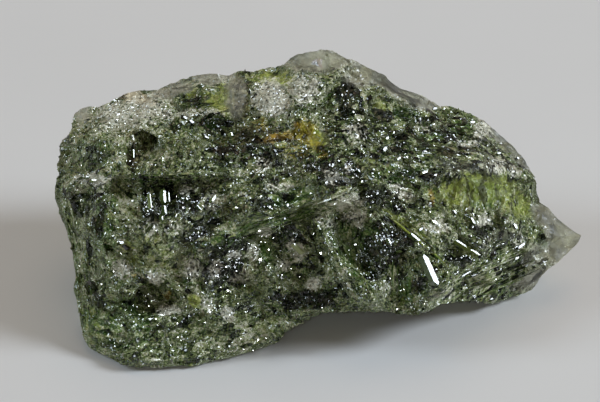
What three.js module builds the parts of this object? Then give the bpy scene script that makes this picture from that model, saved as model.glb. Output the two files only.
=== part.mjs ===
// A broken lump of diopside: one solid, grown and broken as one piece, lying on its widest flat.
// Millimetres, +Z up. The origin is under the middle of the lump, on the surface it rests on.
import * as THREE from 'three';

// Driving dimensions
const LENGTH = 32.0; // widest span, along X
const KNOB_HEIGHT = 13.4; // from the resting face to the top of the knob
const EDGE_LIMIT = 0.94; // longest triangle edge in the finished surface
const SEED = 302; // picks the lumps and grains of the relief

// Relief of the broken surface: soft lumps, then the faces of the single grains
const LUMP_SIZE = 3.4;
const LUMP_HEIGHT = 0.2;
const GRAIN_SIZE = 2.1;
const GRAIN_STEP = 0.55;
const GRAIN_TILT = 0.75;
const GRAIN_SHARPNESS = 7; // how closely a face keeps to its plane up to its edges
const RIM_RELIEF = 0.3; // share of the relief that is left along the outline
const RIM_BAND = 1.6; // the relief grows to full height over this distance from the outline
const FOOT_BAND = 1.2; // and over this height above the table
const FOOT_CLEARANCE = 0.06; // least height of the surface beside the resting face

// Evening out of the triangles before the relief is raised
const EASING_ROUNDS = 4;
const EASING_ALONG = 0.5; // share of the way to the middle of the neighbours, along the surface
const EASING_ACROSS = 0.04; // and across it
const LEVEL = 0.9; // cosine of the angle up to which two triangles count as level
const GAIN = 0.02; // least gain in the sharpest corner, in radians, for which an edge is turned
const JITTER = 1e-4; // pixels by which points are moved apart, so that no four lie on one circle

// The view that the near side is described in: it looks along +Y and down on the lump
const VIEW_TILT = THREE.MathUtils.degToRad(40);
const VIEW_DISTANCE = 200;
const VIEW_AIM = new THREE.Vector3(-1.27, 3.32, 4.0);
const VIEW_MIDDLE = [300, 201]; // the pixel that VIEW_AIM is seen at
const OUTLINE_SPAN = 523; // pixels that LENGTH covers at VIEW_DISTANCE
const PIXELS_PER_MM = OUTLINE_SPAN / LENGTH;

const VIEW_AHEAD = new THREE.Vector3(0, Math.cos(VIEW_TILT), -Math.sin(VIEW_TILT));
const VIEW_UP = new THREE.Vector3(0, Math.sin(VIEW_TILT), Math.cos(VIEW_TILT));
const VIEW_RIGHT = new THREE.Vector3(1, 0, 0);
const EYE = VIEW_AIM.clone().addScaledVector(VIEW_AHEAD, -VIEW_DISTANCE);

// The outline, clockwise from the front left foot: pixel across, pixel down, height above the table
const LEFT_SIDE = [
	[88, 348, 0.4], [81, 334, 0.8], [79, 315, 1.3], [74, 292, 2.1], [72, 262, 3.2], [68.5, 243, 3.9],
	[65, 225, 4.6], [59, 205, 5.4], [56.5, 190, 6.0], [58, 175, 6.6], [60, 160, 7.3], [62, 146, 7.7],
	[68, 137, 8.0], [72, 130, 8.1], [74, 116, 8.2], [80, 109.5, 8.5],
];
const TOP_SIDE = [
	[89, 105, 8.7], [100, 105, 8.9], [112, 99, 9.1], [128, 92.5, 9.5], [143, 90, 9.8], [158, 89.5, 10.0],
	[165, 86, 10.1], [178, 82.5, 10.4], [191, 76, 10.9], [203, 72.5, 11.1], [216, 71.8, 11.2], [229, 74, 11.2],
	[240, 70.5, 11.4], [254, 71.5, 11.5], [266, 68, 11.7], [283, 66.5, 11.9], [289, 60, 12.2], [297, 52, 12.8],
	[310, 48.5, 13.2], [320, 47.5, KNOB_HEIGHT], [333, 50, 13.1], [347, 58, 12.6], [360, 63, 12.2],
	[375, 71, 11.9],
	[389, 79, 11.2], [400, 87, 10.4], [415, 92, 9.9], [430, 101, 9.3], [441, 107, 8.9], [455, 108.5, 8.6],
];
const RIGHT_SIDE = [
	[470, 114, 8.1], [484, 120, 7.6], [500, 134.5, 6.8], [515, 146.5, 6.2], [525, 160, 5.7], [532, 174, 5.2],
	[536, 185, 4.8], [535, 189, 4.6], [540, 200.5, 4.2], [549, 206.5, 4.0], [557, 216, 3.7], [568, 224, 3.4],
	[582.5, 235, 2.9], [580, 242, 2.7], [570, 253, 2.4], [561, 262.5, 2.2], [549, 271, 2.0], [540, 279.5, 1.2],
	[531, 289.5, 0.7], [518, 295.5, 0.4],
];
const FRONT_SIDE = [
	[500, 300, 0.5], [482, 302.5, 1.0], [465, 303, 1.5], [450, 304.5, 2.0], [435, 308, 2.6], [420, 311, 3.1],
	[408, 315, 2.8], [396, 316.5, 2.7], [386, 311.8, 3.0], [365, 311, 3.0], [340, 310.5, 2.9], [322, 311, 2.8],
	[309, 318, 2.2], [297, 325, 1.9], [282, 334, 1.3], [268, 344, 0.7], [255, 351, 0.35], [232, 357, 0.25],
	[210, 361.5, 0.25], [188, 366, 0.25], [165, 368, 0.25], [142, 366, 0.25], [122, 364, 0.25], [106, 356, 0.3],
];
const OUTLINE = [...LEFT_SIDE, ...TOP_SIDE, ...RIGHT_SIDE, ...FRONT_SIDE];
const OUTLINE_STEP = 8; // pixels between neighbouring points once the outline is filled in
const EDGE_ROUND = 0.42; // how far in the rounded edge along the outline reaches
const EDGE_HALF_THICKNESS = 0.36; // and half its thickness there
const POINT_GAP = 7; // pixels that a point of the rounded edge keeps from the points of the faces

// The near side, feature by feature: pixel across, pixel down, height above the table
const SHOULDER = [
	[86, 122, 9.0], [100, 125, 9.7], [120, 112, 9.9], [145, 105, 10.3], [170, 100, 10.2], [185, 112, 10.3],
	[100, 150, 9.9], [165, 140, 10.7], [185, 150, 10.5], [77, 140, 8.6], [78, 166, 8.3], [205, 120, 10.4],
];
const PIT = [
	[133, 150, 9.2], [148, 143, 9.4], [133, 162, 9.3], [120, 138, 10.3], [121, 163, 10.0],
	[160, 155, 10.6], [140, 128, 10.6], [146, 165, 10.3],
];
const UPPER_LEDGE_LIP = [
	[92, 176, 9.0], [112, 178, 9.5], [135, 175, 10.0], [160, 174, 10.3], [185, 175, 10.3], [207, 176, 10.1],
	[226, 180, 9.8],
];
const UPPER_LEDGE_FOOT = [
	[114, 186, 8.6], [135, 187, 8.5], [160, 188, 8.5], [185, 188, 8.7], [207, 187, 9.1],
];
const CLEAVED_BAND = [
	[140, 205, 8.0], [165, 210, 7.9], [195, 208, 8.2], [225, 205, 8.7], [165, 224, 7.5],
];
const NEAR_LEFT_FACE = [
	[74, 200, 6.9], [85, 225, 6.9], [100, 195, 8.5], [115, 210, 8.3], [100, 240, 6.9], [125, 232, 7.3],
	[150, 240, 6.8], [180, 235, 7.0], [205, 230, 7.3], [84, 262, 4.8], [104, 270, 5.1], [130, 265, 5.4],
	[165, 262, 5.7], [190, 260, 5.7], [200, 290, 3.9], [92, 300, 2.9], [110, 288, 4.0],
];
const DARK_HOLLOW = [
	[120, 300, 2.9], [142, 302, 2.4], [160, 302, 2.6], [135, 286, 4.2], [165, 288, 4.1], [185, 300, 3.3],
];
const FOOT = [
	[100, 320, 2.3], [130, 316, 2.5], [160, 314, 2.6], [190, 312, 2.7], [215, 317, 2.4], [245, 312, 2.6],
	[275, 305, 2.9], [300, 303, 3.1], [97, 338, 1.2], [122, 340, 1.3], [150, 342, 1.3], [185, 342, 1.3],
	[215, 338, 1.4], [245, 332, 1.6], [270, 323, 1.9], [290, 313, 2.3],
];
const BAND_ABOVE_LIP = [
	[235, 216, 8.2], [255, 202, 8.9], [285, 190, 9.4], [250, 180, 9.7], [290, 165, 10.2], [230, 160, 10.3],
	[330, 172, 10.0],
];
const SLANT_LIP = [
	[200, 248, 6.6], [222, 240, 7.2], [245, 228, 8.0], [270, 218, 8.5], [300, 207, 9.0], [330, 197, 9.4],
	[352, 189, 9.7],
];
const SLANT_LIP_FOOT = [
	[206, 258, 5.8], [230, 252, 5.8], [252, 241, 6.4], [278, 230, 6.9], [307, 220, 7.4], [336, 210, 7.9],
	[359, 201, 8.4],
];
const DARK_MIDDLE = [
	[215, 272, 4.7], [240, 270, 4.6], [265, 258, 5.2], [290, 250, 5.7], [215, 292, 3.6], [245, 290, 3.6],
	[275, 285, 3.9], [300, 270, 4.7], [305, 240, 6.3],
];
const BLADE_RIDGE = [
	[318, 232, 7.1], [330, 250, 6.5], [343, 268, 5.8], [356, 283, 5.2], [370, 298, 4.5],
];
const BLADE_RIDGE_SIDES = [
	[312, 252, 5.8], [327, 273, 4.9], [344, 291, 4.1], [336, 234, 6.4], [353, 257, 5.6], [369, 275, 4.9],
	[384, 291, 4.2],
];
const RIGHT_MIDDLE = [
	[372, 217, 7.8], [390, 235, 7.0], [400, 260, 5.6], [398, 284, 4.3], [395, 300, 3.6], [413, 222, 7.2],
	[345, 300, 3.7],
];
const BRIGHT_PLATES = [
	[412, 240, 6.7], [425, 255, 6.0], [433, 270, 5.4], [438, 284, 4.6], [450, 250, 5.2], [454, 270, 4.5],
	[455, 238, 6.2], [481, 252, 5.1],
];
const UNDERCUT_EDGE = [
	[407, 305, 3.7], [422, 297, 3.8], [440, 288, 3.7], [470, 275, 3.5], [505, 267, 3.1], [530, 262, 2.9],
	[551, 251, 2.9],
];
const LAYERED_BAND = [
	[440, 298, 2.8], [470, 290, 2.4], [500, 283, 2.0], [525, 276, 1.9],
];
const UPPER_RIGHT = [
	[360, 178, 9.6], [360, 150, 10.4], [395, 188, 9.0], [400, 165, 9.7], [420, 140, 10.1], [440, 125, 9.6],
	[380, 122, 11.0], [350, 122, 11.4], [410, 112, 10.4], [470, 130, 8.7], [480, 150, 8.5], [450, 160, 9.3],
	[505, 155, 7.3], [517, 176, 6.6],
];
const FIBROUS_POCKET = [
	[430, 180, 8.8], [452, 173, 8.9], [475, 170, 8.6], [503, 170, 7.5], [446, 193, 7.8], [480, 193, 7.3],
	[508, 194, 6.4], [440, 216, 7.3], [470, 222, 6.6], [500, 222, 5.7], [520, 214, 5.3],
];
const RIGHT_POINT = [
	[470, 240, 5.8], [500, 240, 4.8], [522, 236, 4.4], [490, 257, 4.1], [545, 228, 4.0], [560, 236, 3.4],
	[562, 247, 2.9],
];
const KNOB = [
	[252, 90, 11.4], [275, 82, 12.0], [300, 82, 12.6], [326, 84, 12.7], [270, 112, 11.4], [300, 112, 11.7],
	[325, 112, 11.5], [343, 78, 12.5], [343, 106, 11.3], [352, 84, 12.3], [299, 63, 12.6], [320, 59, 13.0],
	[340, 65, 12.8],
];
const TOP_MIDDLE = [
	[355, 100, 11.8], [371, 86, 11.7], [391, 95, 11.0], [260, 140, 10.9], [208, 148, 10.6], [212, 130, 10.2],
	[210, 92, 10.9], [230, 112, 11.0], [300, 140, 10.9], [330, 145, 10.8], [232, 90, 11.1], [190, 92, 10.7],
];
const NEAR_SIDE = [
	SHOULDER, PIT, UPPER_LEDGE_LIP, UPPER_LEDGE_FOOT, CLEAVED_BAND, NEAR_LEFT_FACE, DARK_HOLLOW, FOOT,
	BAND_ABOVE_LIP, SLANT_LIP, SLANT_LIP_FOOT, DARK_MIDDLE, BLADE_RIDGE, BLADE_RIDGE_SIDES, RIGHT_MIDDLE,
	BRIGHT_PLATES, UNDERCUT_EDGE, LAYERED_BAND, UPPER_RIGHT, FIBROUS_POCKET, RIGHT_POINT, KNOB, TOP_MIDDLE,
].flat();

// The far side and the underside, in millimetres
const RESTING_FACE = [
	[-13.5, -5.0, 0], [-12.6, -6.0, 0], [-9.7, -6.6, 0], [-6.7, -6.1, 0], [-4.6, -5.1, 0], [-3.0, -3.0, 0],
	[-0.6, -1.1, 0], [2.4, -0.1, 0], [6.7, 0.2, 0], [9.7, -0.2, 0], [11.2, -0.3, 0], [11.7, 1.2, 0],
	[9.1, 3.9, 0], [4.9, 5.2, 0], [-1.2, 5.4, 0], [-7.3, 4.9, 0], [-11.9, 3.5, 0], [-13.7, 0.1, 0],
	[-14.0, -3.0, 0], [-9.5, -3.0, 0], [-9.0, 1.0, 0], [-5.0, 1.8, 0], [-5.8, -2.4, 0], [0.0, 2.5, 0],
	[5.0, 2.4, 0],
];
const ARCH_CEILING = [
	[-0.6, -3.2, 1.9], [1.6, -2.7, 2.1], [5.2, -2.5, 2.0], [8.2, -1.9, 1.3], [-2.2, -4.3, 0.9],
];
const LOWER_SLOPE = [
	[-14.7, 0.5, 2.0], [-13.3, 4.3, 1.8], [-8.0, 6.0, 1.6], [-4.4, 6.9, 2.2], [-1.0, 6.4, 1.8], [2.2, 6.9, 2.4],
	[5.0, 6.2, 1.8], [10.0, 5.0, 1.6], [13.0, 2.6, 1.5], [14.0, 0.9, 2.1],
];
const BULGE = [
	[-14.7, 3.2, 5.0], [-11.5, 6.0, 5.5], [-6.0, 7.3, 5.4], [-2.8, 6.9, 6.6], [0.0, 7.7, 5.8], [5.0, 7.3, 5.2],
	[8.2, 6.3, 5.1], [9.6, 6.2, 4.0], [12.5, 4.0, 3.2],
];
const CHIPPED_RIM = [
	[-13.9, 5.9, 7.4], [-11.6, 6.3, 8.0], [-9.2, 6.0, 9.0], [-6.6, 5.3, 10.2], [-4.9, 5.6, 9.9],
	[-3.0, 6.3, 10.2], [-1.4, 5.5, 11.9], [0.4, 5.2, 12.2], [1.9, 5.4, 11.6], [3.4, 5.2, 10.9], [5.2, 5.1, 9.6],
	[7.0, 5.4, 8.3], [9.3, 5.3, 7.0], [11.4, 5.0, 5.9], [12.8, 3.9, 4.8], [15.2, 1.3, 2.3],
];
const BELOW_CHIPS = [
	[-12.6, 6.4, 6.4], [-9.6, 7.1, 7.2], [-6.2, 6.8, 8.2], [-2.2, 7.1, 8.8], [0.6, 6.6, 9.6], [3.2, 6.8, 8.4],
	[6.0, 6.6, 7.0], [9.0, 6.5, 5.6],
];
const FAR_SIDE = [RESTING_FACE, ARCH_CEILING, LOWER_SLOPE, BULGE, CHIPPED_RIM, BELOW_CHIPS].flat();

// The point at a height above the table that the view shows at a pixel
function seen([across, down, height]) {
	const ray = VIEW_AIM.clone()
		.addScaledVector(VIEW_RIGHT, (across - VIEW_MIDDLE[0]) / PIXELS_PER_MM)
		.addScaledVector(VIEW_UP, (VIEW_MIDDLE[1] - down) / PIXELS_PER_MM)
		.sub(EYE);
	return EYE.clone().addScaledVector(ray, (height - EYE.z) / ray.z);
}

// The pixel that a point is seen at
function pixelOf(point) {
	const offset = point.clone().sub(EYE);
	const shrink = VIEW_DISTANCE * PIXELS_PER_MM / offset.dot(VIEW_AHEAD);
	return [
		VIEW_MIDDLE[0] + offset.dot(VIEW_RIGHT) * shrink,
		VIEW_MIDDLE[1] - offset.dot(VIEW_UP) * shrink,
	];
}

// Fills a closed line of points in, so that no two neighbours are further apart than a step
function fillIn(points, step) {
	return points.flatMap((point, i) => {
		const next = points[(i + 1) % points.length];
		const count = Math.ceil(Math.hypot(next[0] - point[0], next[1] - point[1]) / step);
		return Array.from({ length: count }, (_, k) => point.map((v, axis) => v + (next[axis] - v) * k / count));
	});
}

function isInside([x, y], polygon) {
	let inside = false;
	polygon.forEach(([ax, ay], i) => {
		const [bx, by] = polygon[(i + 1) % polygon.length];
		if (ay > y !== by > y && x < ax + (bx - ax) * (y - ay) / (by - ay)) inside = !inside;
	});
	return inside;
}

// Delaunay triangles of points in the plane of the view, each with its circle's middle and radius squared
function withCircle(a, b, c, points) {
	const [ax, ay] = points[a];
	const [bx, by] = [points[b][0] - ax, points[b][1] - ay];
	const [cx, cy] = [points[c][0] - ax, points[c][1] - ay];
	const d = 2 * (bx * cy - by * cx);
	const ux = (cy * (bx * bx + by * by) - by * (cx * cx + cy * cy)) / d;
	const uy = (bx * (cx * cx + cy * cy) - cx * (bx * bx + by * by)) / d;
	return { corners: d > 0 ? [a, b, c] : [a, c, b], middle: [ax + ux, ay + uy], reach: ux * ux + uy * uy };
}

function delaunay(flatPoints) {
	const far = 1e5;
	const count = flatPoints.length;
	const points = [...flatPoints, [-far, -far], [far, -far], [0, far]];
	let triangles = [withCircle(count, count + 1, count + 2, points)];
	for (let i = 0; i < count; i += 1) {
		const [x, y] = points[i];
		const kept = [];
		const openEdges = new Map();
		for (const triangle of triangles) {
			const [mx, my] = triangle.middle;
			if ((x - mx) ** 2 + (y - my) ** 2 >= triangle.reach) {
				kept.push(triangle);
				continue;
			}
			triangle.corners.forEach((from, k) => {
				const to = triangle.corners[(k + 1) % 3];
				if (!openEdges.delete(`${to},${from}`)) openEdges.set(`${from},${to}`, [from, to]);
			});
		}
		triangles = kept;
		for (const [from, to] of openEdges.values()) triangles.push(withCircle(from, to, i, points));
	}
	return triangles.map((t) => t.corners).filter((corners) => corners.every((v) => v < count));
}

// Repeatable random numbers: one for each cell of a grid and channel
function cellValue(x, y, z, channel) {
	let h = Math.imul(x, 374761393) ^ Math.imul(y, 668265263) ^ Math.imul(z, 2147483647 - 61);
	h = Math.imul(h ^ Math.imul(channel + SEED, 1274126177), 2246822519);
	h = Math.imul(h ^ (h >>> 15), 3266489917);
	return ((h ^ (h >>> 16)) >>> 0) / 4294967296;
}

// Smooth noise from -1 to 1
function lumps(point, size) {
	const place = point.toArray().map((v) => v / size);
	const cell = place.map(Math.floor);
	const share = place.map((v, i) => THREE.MathUtils.smoothstep(v - cell[i], 0, 1));
	let sum = 0;
	for (let corner = 0; corner < 8; corner += 1) {
		const step = [corner & 1, (corner >> 1) & 1, corner >> 2];
		const weight = step.reduce((w, s, i) => w * (s ? share[i] : 1 - share[i]), 1);
		sum += weight * cellValue(cell[0] + step[0], cell[1] + step[1], cell[2] + step[2], 0);
	}
	return sum * 2 - 1;
}

// The faces of the grains round a point: each is a tilted plane with a height of its own,
// and the nearest leads
function grainFace(point, size) {
	const cell = point.toArray().map((v) => Math.floor(v / size));
	let total = 0;
	let face = 0;
	for (let dx = -1; dx <= 1; dx += 1) {
		for (let dy = -1; dy <= 1; dy += 1) {
			for (let dz = -1; dz <= 1; dz += 1) {
				const home = [cell[0] + dx, cell[1] + dy, cell[2] + dz];
				const seed = new THREE.Vector3(...home.map((v, i) => (v + cellValue(...home, i + 1)) * size));
				const tilt = new THREE.Vector3(...[4, 5, 6].map((channel) => cellValue(...home, channel) - 0.5));
				const offset = seed.sub(point);
				const weight = Math.exp(-GRAIN_SHARPNESS * offset.length());
				total += weight;
				face += weight * ((cellValue(...home, 7) - 0.5) * GRAIN_STEP + offset.dot(tilt) * GRAIN_TILT);
			}
		}
	}
	return face / total;
}

// Points just inside the outline, on the viewer's side of it (+1) or behind it (-1)
function roundedEdge(rim, facePoints, towardsViewer) {
	const pixels = rim.map(pixelOf);
	const facePixels = facePoints.map(pixelOf);
	return rim.flatMap((point, i) => {
		const [before, after] = [pixels.at(i - 1), pixels[(i + 1) % pixels.length]];
		const along = new THREE.Vector2(after[0] - before[0], after[1] - before[1]).normalize();
		const inner = point.clone()
			.addScaledVector(VIEW_RIGHT, -along.y * EDGE_ROUND)
			.addScaledVector(VIEW_UP, -along.x * EDGE_ROUND)
			.addScaledVector(VIEW_AHEAD, -towardsViewer * EDGE_HALF_THICKNESS);
		const [x, y] = pixelOf(inner);
		const crowded = facePixels.some(([px, py]) => Math.hypot(px - x, py - y) < POINT_GAP);
		return crowded || i % 2 ? [] : [inner];
	});
}

// One side of the lump: its triangles fill the outline in the view
function sideTriangles(rim, innerPoints, firstInner) {
	const pixels = [...rim, ...innerPoints].map(pixelOf);
	const flat = pixels.map((pixel, i) => pixel.map((v, axis) => v + JITTER * cellValue(i, axis, 0, 8)));
	const border = flat.slice(0, rim.length);
	const middle = (corners) => [0, 1].map((axis) => corners.reduce((sum, v) => sum + flat[v][axis], 0) / 3);
	return delaunay(flat)
		.filter((corners) => isInside(middle(corners), border))
		.map((corners) => corners.map((v) => (v < rim.length ? v : v - rim.length + firstInner)));
}

// Near side and far side, joined along the outline into one closed surface
function closedSurface() {
	const rim = fillIn(OUTLINE, OUTLINE_STEP).map(seen);
	const nearFaces = NEAR_SIDE.map(seen);
	const farFaces = FAR_SIDE.map((p) => new THREE.Vector3(...p));
	const near = [...nearFaces, ...roundedEdge(rim, nearFaces, 1)];
	const far = [...farFaces, ...roundedEdge(rim, farFaces, -1)];
	const nearTriangles = sideTriangles(rim, near, rim.length).map(([a, b, c]) => [a, c, b]);
	const farTriangles = sideTriangles(rim, far, rim.length + near.length);
	return {
		vertices: [...rim, ...near, ...far],
		triangles: [...nearTriangles, ...farTriangles],
		rimCount: rim.length,
		shapedCount: rim.length + near.length + far.length,
	};
}

const edgeKey = (a, b) => (a < b ? `${a},${b}` : `${b},${a}`);

// Halves every edge that is too long, in rounds, and cuts the triangles beside it to suit
function refine(surface, limit) {
	const { vertices } = surface;
	for (let again = true; again;) {
		const halves = new Map();
		for (const corners of surface.triangles) {
			const lengths = corners.map((v, k) => vertices[v].distanceTo(vertices[corners[(k + 1) % 3]]));
			const longest = lengths.indexOf(Math.max(...lengths));
			const key = edgeKey(corners[longest], corners[(longest + 1) % 3]);
			if (lengths[longest] <= limit || halves.has(key)) continue;
			halves.set(key, vertices.length);
			vertices.push(vertices[corners[longest]].clone().lerp(vertices[corners[(longest + 1) % 3]], 0.5));
		}
		again = halves.size > 0;
		surface.triangles = surface.triangles.flatMap((corners) => cutAt(corners, halves, vertices));
	}
}

function cutAt(corners, halves, vertices) {
	const lengths = corners.map((v, k) => {
		const next = corners[(k + 1) % 3];
		return halves.has(edgeKey(v, next)) ? vertices[v].distanceTo(vertices[next]) : 0;
	});
	const longest = lengths.indexOf(Math.max(...lengths));
	if (lengths[longest] === 0) return [corners];
	const [a, b, c] = [0, 1, 2].map((k) => corners[(longest + k) % 3]);
	const half = halves.get(edgeKey(a, b));
	return [...cutAt([a, half, c], halves, vertices), ...cutAt([half, b, c], halves, vertices)];
}

// Turns the edge between two nearly level triangles where that makes their corners less pointed
function turnEdges({ vertices, triangles }) {
	const owners = new Map();
	triangles.forEach((corners, t) => corners.forEach((v, k) => {
		const key = edgeKey(v, corners[(k + 1) % 3]);
		owners.set(key, [...(owners.get(key) ?? []), t]);
	}));
	const touched = new Set();
	const triangle = (corners) => new THREE.Triangle(...corners.map((v) => vertices[v]));
	const normal = (corners) => triangle(corners).getNormal(new THREE.Vector3());
	const sharpest = (corners) => Math.min(...corners.map((v, k) => {
		const [next, last] = [1, 2].map((step) => vertices[corners[(k + step) % 3]].clone().sub(vertices[v]));
		return next.angleTo(last);
	}));
	for (const [key, pair] of owners) {
		if (pair.some((t) => touched.has(t))) continue;
		const [first, second] = pair.map((t) => triangles[t]);
		const k = first.findIndex((v, i) => edgeKey(v, first[(i + 1) % 3]) === key);
		const [a, b, c] = [first[k], first[(k + 1) % 3], first[(k + 2) % 3]];
		const d = second.find((v) => v !== a && v !== b);
		if (owners.has(edgeKey(c, d)) || normal(first).dot(normal(second)) < LEVEL) continue;
		const turned = [[a, d, c], [d, b, c]];
		if (Math.min(...turned.map(sharpest)) <= Math.min(sharpest(first), sharpest(second)) + GAIN) continue;
		if (turned.some((corners) => normal(corners).dot(normal(first)) < LEVEL)) continue;
		pair.forEach((t, i) => {
			triangles[t] = turned[i];
			touched.add(t);
		});
		owners.set(edgeKey(c, d), pair);
	}
}

function neighboursOf({ vertices, triangles }) {
	const neighbours = vertices.map(() => new Set());
	triangles.forEach((corners) => corners.forEach((v, k) => {
		neighbours[v].add(corners[(k + 1) % 3]);
		neighbours[v].add(corners[(k + 2) % 3]);
	}));
	return neighbours;
}

// Moves each free vertex towards the middle of its neighbours: a share of the way along the surface,
// and another share of the way across it
function ease(surface, isFixed, shareAlong, shareAcross) {
	const neighbours = neighboursOf(surface);
	const normals = normalsOf(surface);
	surface.vertices = surface.vertices.map((vertex, i) => {
		if (isFixed(i)) return vertex;
		const move = vertex.clone().negate();
		neighbours[i].forEach((n) => move.addScaledVector(surface.vertices[n], 1 / neighbours[i].size));
		const across = normals[i].clone().multiplyScalar(move.dot(normals[i]));
		return vertex.clone().addScaledVector(move.sub(across), shareAlong).addScaledVector(across, shareAcross);
	});
}

function normalsOf({ vertices, triangles }) {
	const normals = vertices.map(() => new THREE.Vector3());
	for (const corners of triangles) {
		const [a, b, c] = corners.map((v) => vertices[v]);
		const areaNormal = b.clone().sub(a).cross(c.clone().sub(a));
		corners.forEach((v) => normals[v].add(areaNormal));
	}
	return normals.map((n) => n.normalize());
}

// Raises the relief of the broken surface along the normals, less of it near the outline
function raiseRelief(surface, outline, isFlat) {
	const normals = normalsOf(surface);
	surface.vertices.forEach((vertex, i) => {
		if (isFlat(i)) return;
		const distance = Math.min(...outline.map((p) => p.distanceTo(vertex)));
		const free = Math.min(distance / RIM_BAND, vertex.z / FOOT_BAND, 1);
		const share = THREE.MathUtils.mapLinear(free, 0, 1, RIM_RELIEF, 1);
		const relief = LUMP_HEIGHT * lumps(vertex, LUMP_SIZE) + grainFace(vertex, GRAIN_SIZE);
		vertex.addScaledVector(normals[i], relief * share);
		vertex.z = Math.max(vertex.z, FOOT_CLEARANCE);
	});
}

function crystalGeometry() {
	const surface = closedSurface();
	const outline = surface.vertices.slice(0, surface.rimCount).map((v) => v.clone());
	refine(surface, EDGE_LIMIT);
	const onFlat = surface.vertices.map((v) => v.z < 1e-6);
	const onShape = (i) => i < surface.shapedCount;
	for (let round = 0; round < EASING_ROUNDS; round += 1) {
		turnEdges(surface);
		ease(surface, (i) => onFlat[i] || onShape(i), EASING_ALONG, EASING_ACROSS);
	}
	turnEdges(surface);
	raiseRelief(surface, outline, (i) => onFlat[i]);
	const box = new THREE.Box3().setFromPoints(surface.vertices);
	const middle = box.getCenter(new THREE.Vector3()).setZ(0);
	const geometry = new THREE.BufferGeometry();
	const places = surface.vertices.flatMap((v) => v.clone().sub(middle).toArray());
	geometry.setAttribute('position', new THREE.Float32BufferAttribute(places, 3));
	geometry.setIndex(surface.triangles.flat());
	return geometry;
}

const diopside = new THREE.MeshStandardMaterial({ color: 0x5a6b45, roughness: 0.35, metalness: 0 });
const crystal = new THREE.Mesh(crystalGeometry(), diopside);
crystal.name = 'diopside_crystal';

const part = new THREE.Group();
part.add(crystal);

export default part;
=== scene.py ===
import math

import bmesh
import bpy
import numpy as np
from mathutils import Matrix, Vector
from mathutils.bvhtree import BVHTree


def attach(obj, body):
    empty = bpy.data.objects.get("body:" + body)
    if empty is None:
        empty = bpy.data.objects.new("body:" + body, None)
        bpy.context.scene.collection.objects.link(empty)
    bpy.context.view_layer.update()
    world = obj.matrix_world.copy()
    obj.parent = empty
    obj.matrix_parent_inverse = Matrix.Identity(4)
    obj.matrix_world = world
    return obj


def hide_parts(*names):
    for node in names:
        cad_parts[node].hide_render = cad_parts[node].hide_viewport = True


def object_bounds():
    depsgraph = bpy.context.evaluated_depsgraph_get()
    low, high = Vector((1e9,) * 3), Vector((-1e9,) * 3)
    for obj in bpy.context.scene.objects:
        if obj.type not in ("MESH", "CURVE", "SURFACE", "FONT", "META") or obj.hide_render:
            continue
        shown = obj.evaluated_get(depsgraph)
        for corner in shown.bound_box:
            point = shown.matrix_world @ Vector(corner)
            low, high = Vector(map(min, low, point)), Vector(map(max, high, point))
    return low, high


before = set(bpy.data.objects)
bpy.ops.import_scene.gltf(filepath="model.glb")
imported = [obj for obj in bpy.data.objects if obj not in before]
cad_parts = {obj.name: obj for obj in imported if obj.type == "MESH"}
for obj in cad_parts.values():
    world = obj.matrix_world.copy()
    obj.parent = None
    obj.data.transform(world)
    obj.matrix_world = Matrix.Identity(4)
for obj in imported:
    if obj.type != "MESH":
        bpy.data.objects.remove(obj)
cad_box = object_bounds()

MM = 0.001
LUMP = "diopside_crystal"
SEED = 4959

# The view: along +Y and down on the lump. Places on its near side are named by their pixel in the picture
VIEW_TILT = math.radians(40)
VIEW_DISTANCE = 200
VIEW_AIM = np.array([-1.193, 3.081, 4.0])
VIEW_MIDDLE = np.array([300, 201])
PICTURE_WIDTH = 600
PIXELS_PER_MM = 523 / 32.0
SENSOR_WIDTH = 36.0
VIEW_AHEAD = np.array([0, math.cos(VIEW_TILT), -math.sin(VIEW_TILT)])
VIEW_UP = np.array([0, math.sin(VIEW_TILT), math.cos(VIEW_TILT)])
VIEW_RIGHT = np.array([1.0, 0, 0])
EYE = VIEW_AIM - VIEW_DISTANCE * VIEW_AHEAD


def light_direction(azimuth, elevation):
    """Azimuth 0 stands in front of the lump, and 90 on its right"""
    a, e = math.radians(azimuth), math.radians(elevation)
    return np.array([math.sin(a) * math.cos(e), -math.cos(a) * math.cos(e), math.sin(e)])


# The main light stands on the right. A cleavage face that lies half-way between it and the eye flashes
KEY_AZIMUTH = 90
KEY_ELEVATION = 34
TOWARDS_KEY = light_direction(KEY_AZIMUTH, KEY_ELEVATION)
FLASH = (TOWARDS_KEY - VIEW_AHEAD) / np.linalg.norm(TOWARDS_KEY - VIEW_AHEAD)
SIDE_FLASH = FLASH * np.array([-1, 1, 1])

# A small lamp stands beside the eye, so near that the middle of the two directions is almost one long
LAMP_AZIMUTH = -3
LAMP_ELEVATION = 42
LAMP_FLASH = (light_direction(LAMP_AZIMUTH, LAMP_ELEVATION) - VIEW_AHEAD) / 2

# The fine surface, in millimetres
SURFACE_CUTS = 3  # of each edge of the faceted solid
EASING_ROUNDS = 2
FOOT_BAND = 0.5  # the relief fades out towards the table
FOOT_CLEARANCE = 0.02
CRYSTAL_SIZE = 4.5  # on the sides that the picture doesn't show
CRYSTAL_STEP = 0.09
CRYSTAL_LEAN = 0.07
MOST_STEP = 0.16
FLASH_LIFT = 0.2
LEDGE_LIFT = 0.8

# The broken faces of the grains: (height, size, slope)
GRANULAR = [(0.06, 0.95, 1.3), (0.05, 0.42, 1.3), (0.03, 0.26, 1.2)]
CLEAVED = [(0.09, 1.2, 0.8), (0.06, 0.5, 0.8)]
LAYERS = [(0.1, 0.6, 0.8)]

# How much shorter a pattern is counted along the cleavage, which draws it out
RUN_STRETCH = 0.38
LAYER_STRETCH = 0.1
PATTERN_STRETCH = 0.2
FIBRE_STRETCH = 0.42

# The share of its width that a grain is sunk into the skin
SUNK_SHARE = 0.18

# In pixels
RAGGED_EDGE = 6
RAGGED_CRYSTAL = 9
RIDGE_STEP = 7

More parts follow.
